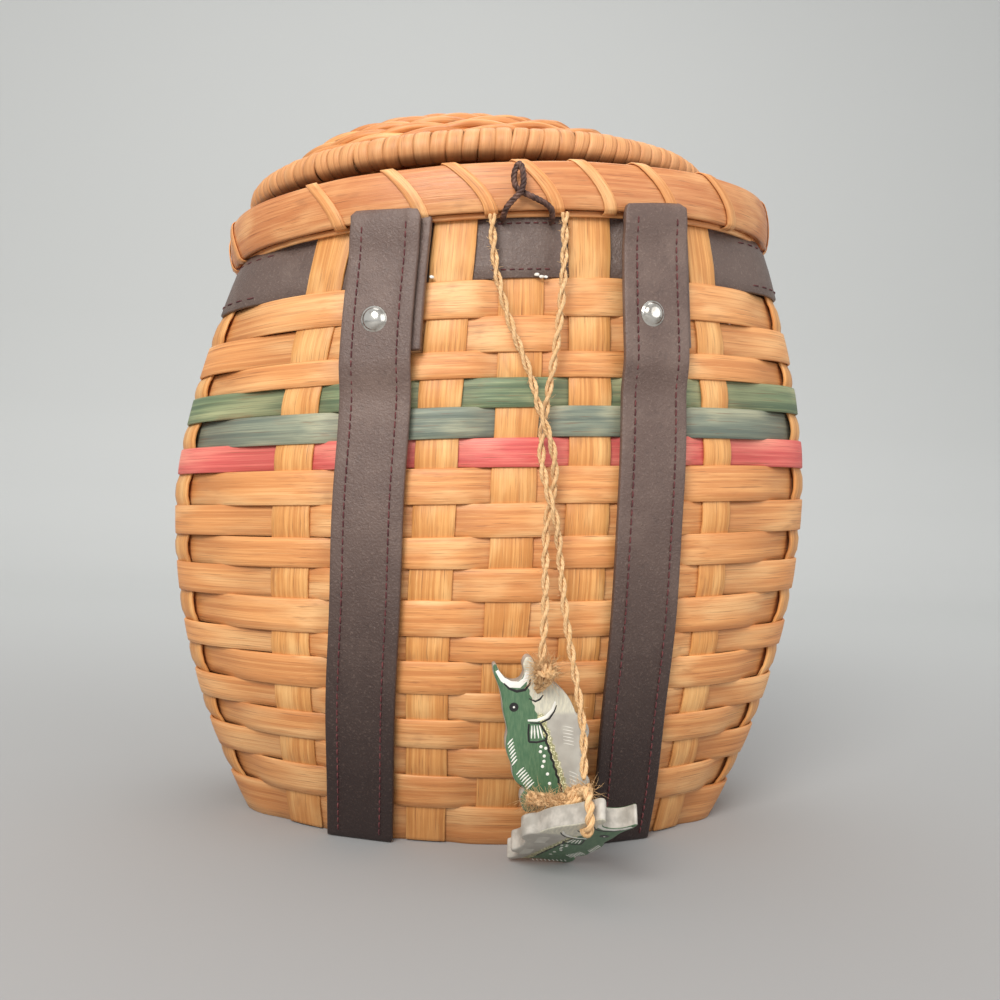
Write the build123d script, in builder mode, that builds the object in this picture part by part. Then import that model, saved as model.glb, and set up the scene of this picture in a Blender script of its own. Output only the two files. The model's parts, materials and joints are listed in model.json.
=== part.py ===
from build123d import *
import math
import os

# Splint fishing creel. Z up, origin at the middle of the foot, front towards -Y, sizes in mm.
# Every level of the basket is a D-shaped oval: a half ellipse in front, a flat back with
# round corners. The levels swell to a belly and tip a little to one side towards the rim.
# Splint runs straight between its bends, so each oval is drawn as short straight sides.

# ---- basket outline, measured on the outside of the weavers
BASE_HALF_WIDTH = 96.5
BELLY_HALF_WIDTH = 130.0
RIM_HALF_WIDTH = 107.0
BASE_FRONT = 60.0
BELLY_FRONT = 86.0
RIM_FRONT = 85.0
BASE_BACK = 40.0
BELLY_BACK = 48.0
RIM_BACK = 44.0
BELLY_HEIGHT = 130.0
BULGE_BELOW = 2.0
BULGE_ABOVE = 1.6
TIP_ANGLE = 5.0
FRONT_SIDES = 26
CORNER_SIDES = 8

# ---- splint rows, from the top down
ROW_WIDTHS = [13, 12, 9, 10, 10.5, 10, 12.5, 11.5, 11, 11.5, 12.5, 9, 11.5, 10, 10.5, 11, 12, 15]
ROW_GAP = 0.5
SPLINT = 1.2
WALL = 1.8
LAYER_GAP = 0.3
ROWS_PER_WALL_STEP = 3
BASE_THICKNESS = 3.0
BASE_GAP = 0.3

# ---- rim
BAND_PROUD = 0.4
BAND_LAP = 6.0
BAND_WIDTH = 22.0
HOOP_HEIGHT = 17.0
OUTER_HOOP = 3.5
INNER_HOOP = 3.0
HOOP_EDGE = 1.0
LASH_WIDTH = 6.0
LASH = 0.8
LASH_GAP = 0.3
LASH_PITCH = 23.0
LASHES_FRONT = 8
LASHES_BACK = 7

# ---- straps on the front
STRAP_WIDTH = 25.4
STRAP = 2.5
STRAP_GAP = 0.35
STRAP_AT_RIM = 44.5
STRAP_AT_BELLY = 48.5
STRAP_AT_BASE = 47.5
STRAP_TAIL = 46.0
STRAP_STEPS = 9
RIVET_BELOW_RIM = 35.0
RIVET_RADIUS = 4.5
RIVET_DOME = 2.2
RIVET_SHOULDER = 0.55
RIVET_SHANK = 1.6
RIVET_GAP = 0.05
RIVET_LIFT = 0.3

# ---- lid
LID_OFFSET = -6.0
LID_HALF_WIDTH = 100.0
LID_FRONT = 84.0
LID_BACK = 42.0
LID_RING = 11.0
LID_RING_CHAMFER = 3.2
LID_GAP = 0.3
DOME = 3.0
DOME_SEAT = 5.0
DOME_HEIGHT = 27.0
DOME_STEPS = 6
DOME_CROWN = 0.16
ROD_RADIUS = 2.0
ROD_GAP = 0.3
ROD_PAST_TIE = 4.0
LOOP_WALL = 1.9
LOOP_WIDTH = 14.0
LOOP_AT = 37.5
TIE_WIDTH = 6.0
TIE_WALL = 1.4
TIE_BEFORE_CORNER = 1.0

# ---- twine, fish charms and catch loop
TWINE_DIAMETER = 2.8
LOOP_CORD_DIAMETER = 2.0
CORD_SIDES = 8
KNOT_RADIUS = 4.6
KNOT_EASE = 2.4
KNOT_GAP = 0.3
FISH = 7.0
FISH_HOLE = 1.9

HEIGHT_OF_ROWS = sum(ROW_WIDTHS)
RIM_BOTTOM = HEIGHT_OF_ROWS + BAND_WIDTH
STAPLE_TOP = HOOP_HEIGHT + LASH_GAP + LASH
BACK_CORNER = RIM_HALF_WIDTH - RIM_BACK
OUTER_TIE = BACK_CORNER - TIE_BEFORE_CORNER
TIES_AT = (-OUTER_TIE, -LASH_PITCH / 2, LASH_PITCH / 2, OUTER_TIE)
ROD_HALF_LENGTH = OUTER_TIE + ROD_PAST_TIE
ROW_INNER = -SPLINT
WALL_OUTER = ROW_INNER - LAYER_GAP
WALL_INNER = WALL_OUTER - WALL
OUTER_HOOP_INNER = BAND_PROUD + LAYER_GAP
OUTER_HOOP_OUTER = OUTER_HOOP_INNER + OUTER_HOOP
INNER_HOOP_OUTER = WALL_INNER - LAYER_GAP
INNER_HOOP_INNER = INNER_HOOP_OUTER - INNER_HOOP

os.makedirs("parts", exist_ok=True)


def swell(z, base, belly, rim):
    """A size that grows from the base to the belly and draws in again to the rim."""
    if z < BELLY_HEIGHT:
        return belly - (belly - base) * ((BELLY_HEIGHT - z) / BELLY_HEIGHT) ** BULGE_BELOW
    above = (z - BELLY_HEIGHT) / (RIM_BOTTOM - BELLY_HEIGHT)
    return belly - (belly - rim) * min(above, 1.0) ** BULGE_ABOVE


def half_width(z):
    return swell(z, BASE_HALF_WIDTH, BELLY_HALF_WIDTH, RIM_HALF_WIDTH)


def front(z):
    return swell(z, BASE_FRONT, BELLY_FRONT, RIM_FRONT)


def back(z):
    return swell(z, BASE_BACK, BELLY_BACK, RIM_BACK)


def level(z):
    """The tipped plane that a hoop of the basket lies in at height z."""
    tip = math.radians(TIP_ANGLE * min(z / RIM_BOTTOM, 1.0))
    return Plane(origin=(0, 0, z), x_dir=(math.cos(tip), 0, math.sin(tip)),
                 z_dir=(-math.sin(tip), 0, math.cos(tip)))


RIM = level(RIM_BOTTOM)


def oval(a, b, c, shift=0.0):
    """The D-shaped oval of half width a, front depth b and back depth c."""
    corners = []
    for i in range(FRONT_SIDES + 1):
        turn = math.pi * (1 + i / FRONT_SIDES)
        corners.append((shift + a * math.cos(turn), b * math.sin(turn)))
    for side in (1, -1):
        for i in range(CORNER_SIDES + 1):
            turn = math.pi / 2 * i / CORNER_SIDES
            turn = turn if side > 0 else math.pi / 2 + turn
            corners.append((shift + side * (a - c) + c * math.cos(turn), c * math.sin(turn)))
    del corners[FRONT_SIDES + 1], corners[-1]
    with BuildSketch(Plane.XY, mode=Mode.PRIVATE) as flat:
        with BuildLine():
            Polyline(*corners, close=True)
        make_face()
    return flat.sketch


def hoop_outline(z, grow):
    return oval(half_width(z) + grow, front(z) + grow, back(z) + grow)


def ring_between(z_low, z_high, outer, inner):
    """A closed band of splint from one level to another, as a loft with its middle lofted out."""
    with BuildPart() as ring:
        for z in (z_low, z_high):
            with BuildSketch(level(z)):
                add(hoop_outline(z, outer))
        loft(ruled=True)
        for z in (z_low, z_high):
            with BuildSketch(level(z)):
                add(hoop_outline(z, inner))
        loft(ruled=True, mode=Mode.SUBTRACT)
    return ring.part


def rim_ring(z_low, height, outer, inner, edge):
    """A hoop of the rim: it stands square on the rim's plane, with eased edges."""
    a, b, c = RIM_HALF_WIDTH, RIM_FRONT, RIM_BACK
    with BuildPart() as ring:
        with BuildSketch(RIM.offset(z_low)):
            add(oval(a + outer, b + outer, c + outer))
            add(oval(a + inner, b + inner, c + inner), mode=Mode.SUBTRACT)
        extrude(amount=height)
        if edge > 0:
            ends = ring.faces().filter_by(RIM).edges()
            chamfer(ends, edge)
    return ring.part


def write(shape, name):
    shape.label = name
    export_step(shape, f"parts/{name}.step")


# ---- wall: the stakes and the inner passes of the weavers, as one skin with a flat foot
row_tops = [HEIGHT_OF_ROWS - sum(ROW_WIDTHS[:i]) for i in range(len(ROW_WIDTHS) + 1)]
wall_levels = row_tops[::-ROWS_PER_WALL_STEP] + [RIM_BOTTOM]

with BuildPart() as woven_wall:
    for z in wall_levels:
        with BuildSketch(level(z)):
            add(hoop_outline(z, WALL_OUTER))
    loft(ruled=True)
    for z in wall_levels:
        with BuildSketch(level(z)):
            add(hoop_outline(z, WALL_INNER))
    loft(ruled=True, mode=Mode.SUBTRACT)
    with BuildSketch(RIM):
        add(hoop_outline(RIM_BOTTOM, WALL_OUTER))
        add(hoop_outline(RIM_BOTTOM, WALL_INNER), mode=Mode.SUBTRACT)
    extrude(amount=HOOP_HEIGHT)
write(woven_wall.part, "woven_wall")

with BuildPart() as base_panel:
    for z in (0, BASE_THICKNESS):
        with BuildSketch(level(z)):
            add(hoop_outline(z, WALL_INNER - BASE_GAP))
    loft(ruled=True)
write(base_panel.part, "base_panel")

for i in range(len(ROW_WIDTHS)):
    low = row_tops[i + 1] + (ROW_GAP / 2 if i + 1 < len(ROW_WIDTHS) else 0)
    high = row_tops[i] - ROW_GAP / 2
    write(ring_between(low, high, 0, ROW_INNER), f"weaver_row_{i + 1:02d}")

# ---- rim: leather band, two hoops, lashing
with BuildPart() as leather_band:
    add(ring_between(HEIGHT_OF_ROWS + ROW_GAP / 2, RIM_BOTTOM, BAND_PROUD, ROW_INNER))
    add(rim_ring(0, BAND_LAP, BAND_PROUD, ROW_INNER, 0))
write(leather_band.part, "leather_band")
write(rim_ring(0, HOOP_HEIGHT, OUTER_HOOP_OUTER, OUTER_HOOP_INNER, HOOP_EDGE), "rim_outer_hoop")
write(rim_ring(0, HOOP_HEIGHT, INNER_HOOP_OUTER, INNER_HOOP_INNER, HOOP_EDGE), "rim_inner_hoop")

# One turn of the lashing: down the outside on the slant, over the top, down the inside.
lash_inner = INNER_HOOP_INNER - LASH_GAP
lash_outer = OUTER_HOOP_OUTER + LASH_GAP
lash_foot = 1.0
with BuildPart() as lash:
    with BuildSketch(Plane.XZ.offset(-LASH_WIDTH / 2)):
        with BuildLine():
            Polyline((lash_inner - LASH, lash_foot), (lash_inner - LASH, STAPLE_TOP),
                     (lash_outer + LASH, STAPLE_TOP), (lash_outer + LASH, lash_foot),
                     (lash_outer, lash_foot), (lash_outer, HOOP_HEIGHT + LASH_GAP),
                     (lash_inner, HOOP_HEIGHT + LASH_GAP), (lash_inner, lash_foot), close=True)
        make_face()
    extrude(amount=LASH_WIDTH)

lash_places = []
for i in range(LASHES_FRONT):
    x = (i - (LASHES_FRONT - 1) / 2) * LASH_PITCH
    y = -RIM_FRONT * math.sqrt(1 - (x / RIM_HALF_WIDTH) ** 2)
    turn = math.degrees(math.atan2(y / RIM_FRONT ** 2, x / RIM_HALF_WIDTH ** 2))
    lash_places.append(RIM.location * Location((x, y, 0), (0, 0, turn)))
for i in range(LASHES_BACK):
    x = (i - (LASHES_BACK - 1) / 2) * LASH_PITCH
    if abs(x) + (LASH_WIDTH + TIE_WIDTH) / 2 + LASH_GAP < OUTER_TIE:
        lash_places.append(RIM.location * Location((x, RIM_BACK, 0), (0, 0, 90)))
for side in (-1, 1):
    corner = side * BACK_CORNER
    for turn in (12, 45, 76):
        angle = turn if side > 0 else 180 - turn
        x = corner + RIM_BACK * math.cos(math.radians(angle))
        y = RIM_BACK * math.sin(math.radians(angle))
        lash_places.append(RIM.location * Location((x, y, 0), (0, 0, angle)))
with BuildPart() as rim_lashing:
    with Locations(*lash_places):
        add(lash.part)
write(rim_lashing.part, "rim_lashing")


# ---- straps: the front layer steps out over its folded tail, which the rivet clamps
def strap_centre(z):
    return swell(z, STRAP_AT_BASE, STRAP_AT_BELLY, STRAP_AT_RIM)


def strap_seat(z, side, thickness_below):
    """Where a strap lies at height z: its middle on the level plane and its turn."""
    a, b = half_width(z), front(z)
    x = strap_centre(z)
    depth = math.sqrt(1 - (x / a) ** 2)
    turn = math.degrees(math.atan2(b * x / a ** 2, depth))
    out = BAND_PROUD + STRAP_GAP + thickness_below + STRAP / 2
    nx, ny = math.sin(math.radians(turn)), -math.cos(math.radians(turn))
    return side * (x + nx * out), -b * depth + ny * out, side * turn


def strap_layer(side, z_low, z_high, steps, lift):
    with BuildPart() as layer:
        for i in range(steps + 1):
            z = z_low + (z_high - z_low) * i / steps
            x, y, turn = strap_seat(z, side, lift(z))
            with BuildSketch(level(z)):
                with Locations(Location((x, y, 0), (0, 0, turn))):
                    Rectangle(STRAP_WIDTH, STRAP)
        loft(ruled=True)
    return layer.part


tail_low = RIM_BOTTOM - STRAP_TAIL
strap_top = RIM_BOTTOM - LAYER_GAP
step_out = STRAP + STRAP_GAP
rivet_z = RIM_BOTTOM - RIVET_BELOW_RIM


def over_tail(z):
    """How far the front layer stands out to pass over the tail."""
    ramp = (z - (tail_low - 4 * STRAP)) / (3 * STRAP)
    return step_out * min(max(ramp, 0.0), 1.0)


for side, name in ((-1, "left"), (1, "right")):
    front_low = strap_layer(side, 0, tail_low - 4 * STRAP, STRAP_STEPS, over_tail)
    front_step = strap_layer(side, tail_low - 4 * STRAP, tail_low - STRAP, 1, over_tail)
    front_high = strap_layer(side, tail_low - STRAP, strap_top, 4, over_tail)
    tail = strap_layer(side, tail_low, strap_top, 4, lambda z: 0)
    x, y, turn = strap_seat(rivet_z, side, 0)
    out = math.radians(turn)
    here = level(rivet_z)
    axis = Plane(here.from_local_coords(Vector(x, y, 0)), x_dir=here.z_dir,
                 z_dir=here.from_local_coords(Vector(x + math.sin(out), y - math.cos(out), 0))
                 - here.from_local_coords(Vector(x, y, 0)))
    with BuildPart() as strap:
        add(front_low)
        add(front_step)
        add(front_high)
        with Locations(axis.offset(step_out)):
            Hole(RIVET_SHANK + RIVET_GAP, depth=2 * STRAP)
    write(strap.part, f"{name}_strap")
    with BuildPart() as strap_tail:
        add(tail)
        with Locations(axis.offset(STRAP)):
            Hole(RIVET_SHANK + RIVET_GAP, depth=2 * STRAP)
    write(strap_tail.part, f"{name}_strap_tail")
    seat = step_out + STRAP / 2 + RIVET_LIFT
    shoulder = (RIVET_RADIUS * (1 - RIVET_SHOULDER / 2), seat + RIVET_DOME * RIVET_SHOULDER)
    crown = (RIVET_RADIUS * (1 - RIVET_SHOULDER), seat + RIVET_DOME)
    with BuildPart() as rivet:
        with BuildSketch(Plane(axis.origin, x_dir=axis.x_dir, z_dir=-axis.y_dir)):
            with BuildLine():
                Polyline((0, -STRAP / 2), (RIVET_SHANK, -STRAP / 2), (RIVET_SHANK, seat),
                         (RIVET_RADIUS, seat), shoulder, crown, (0, seat + RIVET_DOME), close=True)
            make_face()
        revolve(axis=Axis(axis.origin, axis.z_dir))
    write(rivet.part, f"{name}_strap_rivet")

# ---- lid: a ring on the rim, a domed top seated in it, two loops on a rod behind the rim
LID_LOW = STAPLE_TOP + LID_GAP


def lid_oval(grow):
    return oval(LID_HALF_WIDTH + grow, LID_FRONT + grow, LID_BACK + grow, LID_OFFSET)


with BuildPart() as lid_ring:
    with BuildSketch(RIM.offset(LID_LOW)):
        add(lid_oval(0))
        add(lid_oval(-LID_RING), mode=Mode.SUBTRACT)
    extrude(amount=LID_RING)
    chamfer(lid_ring.faces().filter_by(RIM).edges(), LID_RING_CHAMFER)
write(lid_ring.part, "lid_ring")


def dome_levels(thickness):
    """Height and inset of each hoop of the dome, on a quarter of an ellipse."""
    for i in range(DOME_STEPS):
        rise = math.radians(90 * i / DOME_STEPS)
        shrink = (1 - math.cos(rise)) * (1 - DOME_CROWN)
        yield (DOME_HEIGHT - thickness) * math.sin(rise), shrink


def dome_body(thickness):
    a = LID_HALF_WIDTH - LID_RING - LAYER_GAP - thickness
    b = LID_FRONT - LID_RING - LAYER_GAP - thickness
    c = LID_BACK - LID_RING - LAYER_GAP - thickness
    with BuildPart() as body:
        for h, shrink in dome_levels(thickness):
            with BuildSketch(RIM.offset(LID_LOW + DOME_SEAT + h)):
                keep = 1 - shrink
                add(oval(a * keep, b * keep, c * keep, LID_OFFSET))
        loft(ruled=True)
    return body.part


with BuildPart() as lid_dome:
    add(dome_body(0))
    add(dome_body(DOME), mode=Mode.SUBTRACT)
write(lid_dome.part, "lid_dome")

rod_y = RIM_BACK + OUTER_HOOP_OUTER + LASH_GAP
rod_h = LID_LOW + ROD_RADIUS + ROD_GAP + LOOP_WALL
loop_outer = ROD_RADIUS + ROD_GAP + LOOP_WALL
tie_outer = ROD_RADIUS + TIE_WALL


def rim_cross(x):
    """A plane square to the hinge rod, at x along it: local x to the back, local y up."""
    here = RIM.offset(rod_h)
    return Plane(here.from_local_coords(Vector(x, rod_y, 0)), x_dir=here.y_dir, z_dir=here.x_dir)


with BuildPart() as hinge_rod:
    with BuildSketch(rim_cross(-ROD_HALF_LENGTH)):
        Circle(ROD_RADIUS)
    extrude(amount=2 * ROD_HALF_LENGTH)
write(hinge_rod.part, "hinge_rod")

with BuildPart() as hinge_rod_ties:
    for x in TIES_AT:
        with BuildSketch(rim_cross(x - TIE_WIDTH / 2)):
            Circle(tie_outer)
            with Locations((0, -(rod_h - HOOP_HEIGHT - LAYER_GAP) / 2)):
                Rectangle(2 * tie_outer, rod_h - HOOP_HEIGHT - LAYER_GAP)
            Circle(ROD_RADIUS, mode=Mode.SUBTRACT)
        extrude(amount=TIE_WIDTH)
write(hinge_rod_ties.part, "hinge_rod_ties")

ring_back_gap = rod_y - LID_BACK
for side, name in ((-1, "left"), (1, "right")):
    with BuildPart() as hinge_loop:
        with BuildSketch(rim_cross(side * LOOP_AT - LOOP_WIDTH / 2)):
            Circle(loop_outer)
            with Locations((-ring_back_gap / 2, 0)):
                Rectangle(ring_back_gap, 2 * LOOP_WALL)
            Circle(ROD_RADIUS + ROD_GAP, mode=Mode.SUBTRACT)
        extrude(amount=LOOP_WIDTH)
    write(hinge_loop.part, f"hinge_loop_{name}")


# ---- cords: straight runs joined by arcs as large as the runs allow, on an eight-sided
# section as large as the round one
def corner_radii(points):
    radii = []
    for before, here, after in zip(points, points[1:], points[2:]):
        run_in = Vector(*here) - Vector(*before)
        run_out = Vector(*after) - Vector(*here)
        turn = math.radians(run_in.get_angle(run_out))
        radii.append(0.45 * min(run_in.length, run_out.length) / math.tan(turn / 2))
    return radii


def cord_tube(points, diameter, name):
    radii = corner_radii(points)
    with BuildPart() as tube:
        with BuildLine() as path:
            FilletPolyline(*points, radius=radii)
        section = math.pi * diameter ** 2 / 4
        corner = math.sqrt(2 * section / (CORD_SIDES * math.sin(2 * math.pi / CORD_SIDES)))
        with BuildSketch(path.line ^ 0):
            RegularPolygon(corner, CORD_SIDES)
        sweep()
    length = sum(edge.length for edge in path.edges())
    print(name, "length", round(length, 1), "volume share", round(tube.part.volume / (section * length), 4),
          "radii", [round(r, 1) for r in radii])
    write(tube.part, name)


KNOT_1 = (10.6, -95.0, 62.0)
KNOT_2 = (25.4, -104.1, 32.5)
KNOT_2_TOP = (0.0, 1.2, 4.4)
TWINE_SHORT = [(-10.8, -88.0, 222.9), (-10.4, -89.4, 208.0), (-3.9, -91.2, 186.0),
               (5.0, -91.6, 165.0), (9.4, -91.2, 136.0), (11.7, -92.0, 108.0),
               (12.6, -94.0, 84.0), (KNOT_1[0], KNOT_1[1], KNOT_1[2] + KNOT_RADIUS)]
TWINE_LONG = [(13.9, -88.0, 225.0), (14.3, -89.5, 210.0), (12.9, -91.4, 187.0),
              (11.2, -91.8, 165.0), (14.2, -91.3, 137.0), (16.8, -92.1, 108.0),
              (20.4, -93.6, 84.0), (24.4, -96.2, 64.0), (26.2, -99.4, 48.0),
              tuple(k + t for k, t in zip(KNOT_2, KNOT_2_TOP))]
CATCH_LOOP = [(-5.6, -86.9, 217.0), (-6.2, -90.6, 222.0), (-4.4, -93.0, 226.6), (0.6, -94.6, 231.0),
              (1.6, -94.4, 236.6), (-3.4, -93.6, 239.4), (-7.2, -92.6, 235.4), (-3.6, -92.0, 230.2),
              (3.4, -92.8, 227.4), (8.4, -91.2, 223.6), (9.4, -87.0, 218.2)]
cord_tube(TWINE_SHORT, TWINE_DIAMETER, "twine_short")
cord_tube(TWINE_LONG, TWINE_DIAMETER, "twine_long")
cord_tube(CATCH_LOOP, LOOP_CORD_DIAMETER, "catch_loop")


# ---- fish charms: one flat wooden outline, mouth at the origin end, belly towards +Y
FISH_OUTLINE = [(0.0, -13.6), (6.4, -11.8), (10.2, -9.2), (10.8, -5.6), (7.6, -2.7), (0.5, -2.7),
                (1.9, 0.6), (10.6, 8.4), (18.6, 15.2), (24.5, 18.2), (29.0, 17.2), (32.0, 14.2),
                (39.0, 14.6), (42.5, 17.4), (45.5, 15.0), (50.0, 13.0), (56.0, 13.6), (53.0, 4.5),
                (56.0, -4.4), (49.7, -4.3), (45.3, -3.6), (42.5, -5.6), (36.7, -7.7), (27.7, -9.7),
                (15.9, -11.1)]
FISH_HOLE_AT = (13.9, 0.7)
FISH_CORNER = 0.6


def fish(plane, belly, name, knot_name):
    """A fish hung by its gill hole on a knot whose neck passes through it. belly is 1 or -1."""
    hung = plane.offset(-KNOT_RADIUS - KNOT_GAP)
    outline = [(u - FISH_HOLE_AT[0], belly * (v - FISH_HOLE_AT[1])) for u, v in FISH_OUTLINE]
    with BuildPart() as body:
        with BuildSketch(hung) as side_view:
            with BuildLine():
                Polyline(*outline, close=True)
            make_face()
            chamfer(side_view.vertices(), FISH_CORNER)
            Circle(FISH_HOLE, mode=Mode.SUBTRACT)
        extrude(amount=-FISH)
    write(body.part, name)
    with BuildPart() as knot_body:
        with Locations(plane):
            ball = Cylinder(KNOT_RADIUS, 2 * KNOT_RADIUS)
        chamfer(ball.edges(), KNOT_EASE)
        with BuildSketch(plane):
            Circle(FISH_HOLE - KNOT_GAP)
        extrude(amount=-KNOT_RADIUS - KNOT_GAP - FISH)
    write(knot_body.part, knot_name)


fish(Plane(KNOT_1, x_dir=(0.04, 0, -1), z_dir=(0, -1, 0)), 1, "fish_charm_1", "twine_knot_1")
fish(Plane(KNOT_2, x_dir=(-0.216, 0.838, -0.501), z_dir=(-0.095, 0.493, 0.865)), 1,
     "fish_charm_2", "twine_knot_2")
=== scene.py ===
import bpy
import bmesh
import json
import math
import random
from mathutils import Matrix, Vector, noise
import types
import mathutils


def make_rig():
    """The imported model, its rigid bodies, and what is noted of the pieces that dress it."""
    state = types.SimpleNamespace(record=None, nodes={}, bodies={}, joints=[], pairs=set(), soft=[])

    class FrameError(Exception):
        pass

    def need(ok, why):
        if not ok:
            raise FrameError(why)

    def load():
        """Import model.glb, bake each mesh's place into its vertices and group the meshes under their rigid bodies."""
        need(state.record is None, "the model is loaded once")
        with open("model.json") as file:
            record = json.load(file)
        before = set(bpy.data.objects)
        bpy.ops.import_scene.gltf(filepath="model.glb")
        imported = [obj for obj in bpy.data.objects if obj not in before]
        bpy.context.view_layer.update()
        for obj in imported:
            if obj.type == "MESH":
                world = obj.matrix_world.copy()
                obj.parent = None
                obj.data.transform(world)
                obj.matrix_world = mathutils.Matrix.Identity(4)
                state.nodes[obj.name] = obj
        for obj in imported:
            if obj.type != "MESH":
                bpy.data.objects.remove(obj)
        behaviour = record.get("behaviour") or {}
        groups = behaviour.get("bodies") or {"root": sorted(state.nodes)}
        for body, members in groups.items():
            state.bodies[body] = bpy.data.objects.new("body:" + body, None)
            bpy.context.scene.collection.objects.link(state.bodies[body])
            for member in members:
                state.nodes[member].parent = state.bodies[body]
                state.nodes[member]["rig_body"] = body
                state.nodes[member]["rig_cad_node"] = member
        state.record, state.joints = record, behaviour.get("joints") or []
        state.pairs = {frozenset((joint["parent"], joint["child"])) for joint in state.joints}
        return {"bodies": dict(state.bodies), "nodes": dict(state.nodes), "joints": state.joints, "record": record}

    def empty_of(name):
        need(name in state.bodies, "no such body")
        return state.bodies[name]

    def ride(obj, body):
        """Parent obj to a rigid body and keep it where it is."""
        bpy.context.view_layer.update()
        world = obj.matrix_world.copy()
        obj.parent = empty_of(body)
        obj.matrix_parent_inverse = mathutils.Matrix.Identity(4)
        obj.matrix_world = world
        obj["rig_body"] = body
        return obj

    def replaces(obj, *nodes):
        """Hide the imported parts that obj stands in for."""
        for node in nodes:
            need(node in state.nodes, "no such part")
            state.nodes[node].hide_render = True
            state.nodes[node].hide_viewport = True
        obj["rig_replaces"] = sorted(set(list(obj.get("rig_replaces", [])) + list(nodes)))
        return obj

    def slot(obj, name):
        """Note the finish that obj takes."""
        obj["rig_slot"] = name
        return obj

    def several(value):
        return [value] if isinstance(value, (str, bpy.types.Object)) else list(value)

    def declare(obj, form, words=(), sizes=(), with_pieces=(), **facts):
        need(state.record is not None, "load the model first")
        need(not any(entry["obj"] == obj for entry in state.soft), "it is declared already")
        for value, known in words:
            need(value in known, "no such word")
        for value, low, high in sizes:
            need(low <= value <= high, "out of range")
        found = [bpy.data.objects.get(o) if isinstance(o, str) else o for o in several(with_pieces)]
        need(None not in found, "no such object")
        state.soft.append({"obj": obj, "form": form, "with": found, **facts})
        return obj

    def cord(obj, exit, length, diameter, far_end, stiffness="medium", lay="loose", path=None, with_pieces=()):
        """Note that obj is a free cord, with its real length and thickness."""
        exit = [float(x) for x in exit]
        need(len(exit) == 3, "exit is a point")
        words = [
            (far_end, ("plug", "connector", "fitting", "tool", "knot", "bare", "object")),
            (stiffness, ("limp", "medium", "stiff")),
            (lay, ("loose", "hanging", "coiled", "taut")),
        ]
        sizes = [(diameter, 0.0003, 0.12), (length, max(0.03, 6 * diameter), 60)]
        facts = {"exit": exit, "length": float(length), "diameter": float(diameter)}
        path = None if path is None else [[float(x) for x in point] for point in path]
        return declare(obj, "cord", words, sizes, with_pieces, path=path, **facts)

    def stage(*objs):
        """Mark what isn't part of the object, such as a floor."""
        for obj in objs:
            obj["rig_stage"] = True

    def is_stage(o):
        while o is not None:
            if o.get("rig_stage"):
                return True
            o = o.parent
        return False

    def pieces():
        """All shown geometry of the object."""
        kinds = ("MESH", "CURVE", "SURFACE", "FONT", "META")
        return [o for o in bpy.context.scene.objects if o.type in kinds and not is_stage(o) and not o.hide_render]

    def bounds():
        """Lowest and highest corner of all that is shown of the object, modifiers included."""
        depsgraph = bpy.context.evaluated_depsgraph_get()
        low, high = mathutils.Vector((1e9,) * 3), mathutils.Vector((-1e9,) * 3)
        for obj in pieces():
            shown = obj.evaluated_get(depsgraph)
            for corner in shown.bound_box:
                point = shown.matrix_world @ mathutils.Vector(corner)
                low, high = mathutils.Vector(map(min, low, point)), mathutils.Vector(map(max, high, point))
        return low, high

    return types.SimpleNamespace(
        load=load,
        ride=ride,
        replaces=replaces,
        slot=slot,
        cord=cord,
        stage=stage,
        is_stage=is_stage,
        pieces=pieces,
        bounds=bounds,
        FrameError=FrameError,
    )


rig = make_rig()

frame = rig.load()
cad_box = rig.bounds()
MM = 0.001
random.seed(7)

# ---------------------------------------------------------------- sizes of the basket, in mm
BASE = dict(a=96.5, b=60.0, c=40.0)
BELLY = dict(a=130.0, b=86.0, c=48.0)
MOUTH = dict(a=107.0, b=85.0, c=44.0)
BELLY_HEIGHT = 130.0
BULGE_BELOW = 2.0
BULGE_ABOVE = 1.6
TIP_ANGLE = 5.0
ROW_WIDTHS = [13, 12, 9, 10, 10.5, 10, 12.5, 11.5, 11, 11.5, 12.5, 9, 11.5, 10, 10.5, 11, 12, 15]
BAND_WIDTH = 22.0
HEIGHT_OF_ROWS = sum(ROW_WIDTHS)
RIM_BOTTOM = HEIGHT_OF_ROWS + BAND_WIDTH
HOOP_HEIGHT = 17.0
HOOP_CROWN = 1.3
STAKES = 24
FRONT_STAKES = 3
STAKE_PITCH = (24.6, 26.9, 23.2)
STAKE_WIDTH = 14.0
SPLINT = 1.1
MID_WALL = -1.35
WEAVER_SWING = 0.95
STAKE_SWING = 0.5
SIDE_STAKE_AT = {-1: 0.43, 1: 0.413}
CORNER_RISE = 2.2
CORNER_SWING = 1.7
STEPS_PER_STAKE = 10
STRAP_WIDTH = 25.4
STRAP = 2.5
STRAP_AT = (47.5, 48.5, 44.5)
STRAP_TAIL = 46.0
STRAP_CLEAR = 0.75
STITCH_INSET = 4.7
STITCH_PITCH = 3.1
LID_OFFSET = -8.2
LID_LOW = 20.3
LID_RING = 9.7
LID = dict(a=94.5, b=84.0, c=42.0)
DOME_HEIGHT = 27.0
DOME_SEAT = 5.0
DOME_CROWN = 0.16
DOME_LEAN = 0.06


# ---------------------------------------------------------------- the basket's form
def swell(z, base, belly, rim):
    """A size that grows from the base to the belly and draws in again to the rim."""
    if z < BELLY_HEIGHT:
        return belly - (belly - base) * ((BELLY_HEIGHT - max(z, 0)) / BELLY_HEIGHT) ** BULGE_BELOW
    above = min((z - BELLY_HEIGHT) / (RIM_BOTTOM - BELLY_HEIGHT), 1.0)
    return belly - (belly - rim) * above ** BULGE_ABOVE


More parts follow.
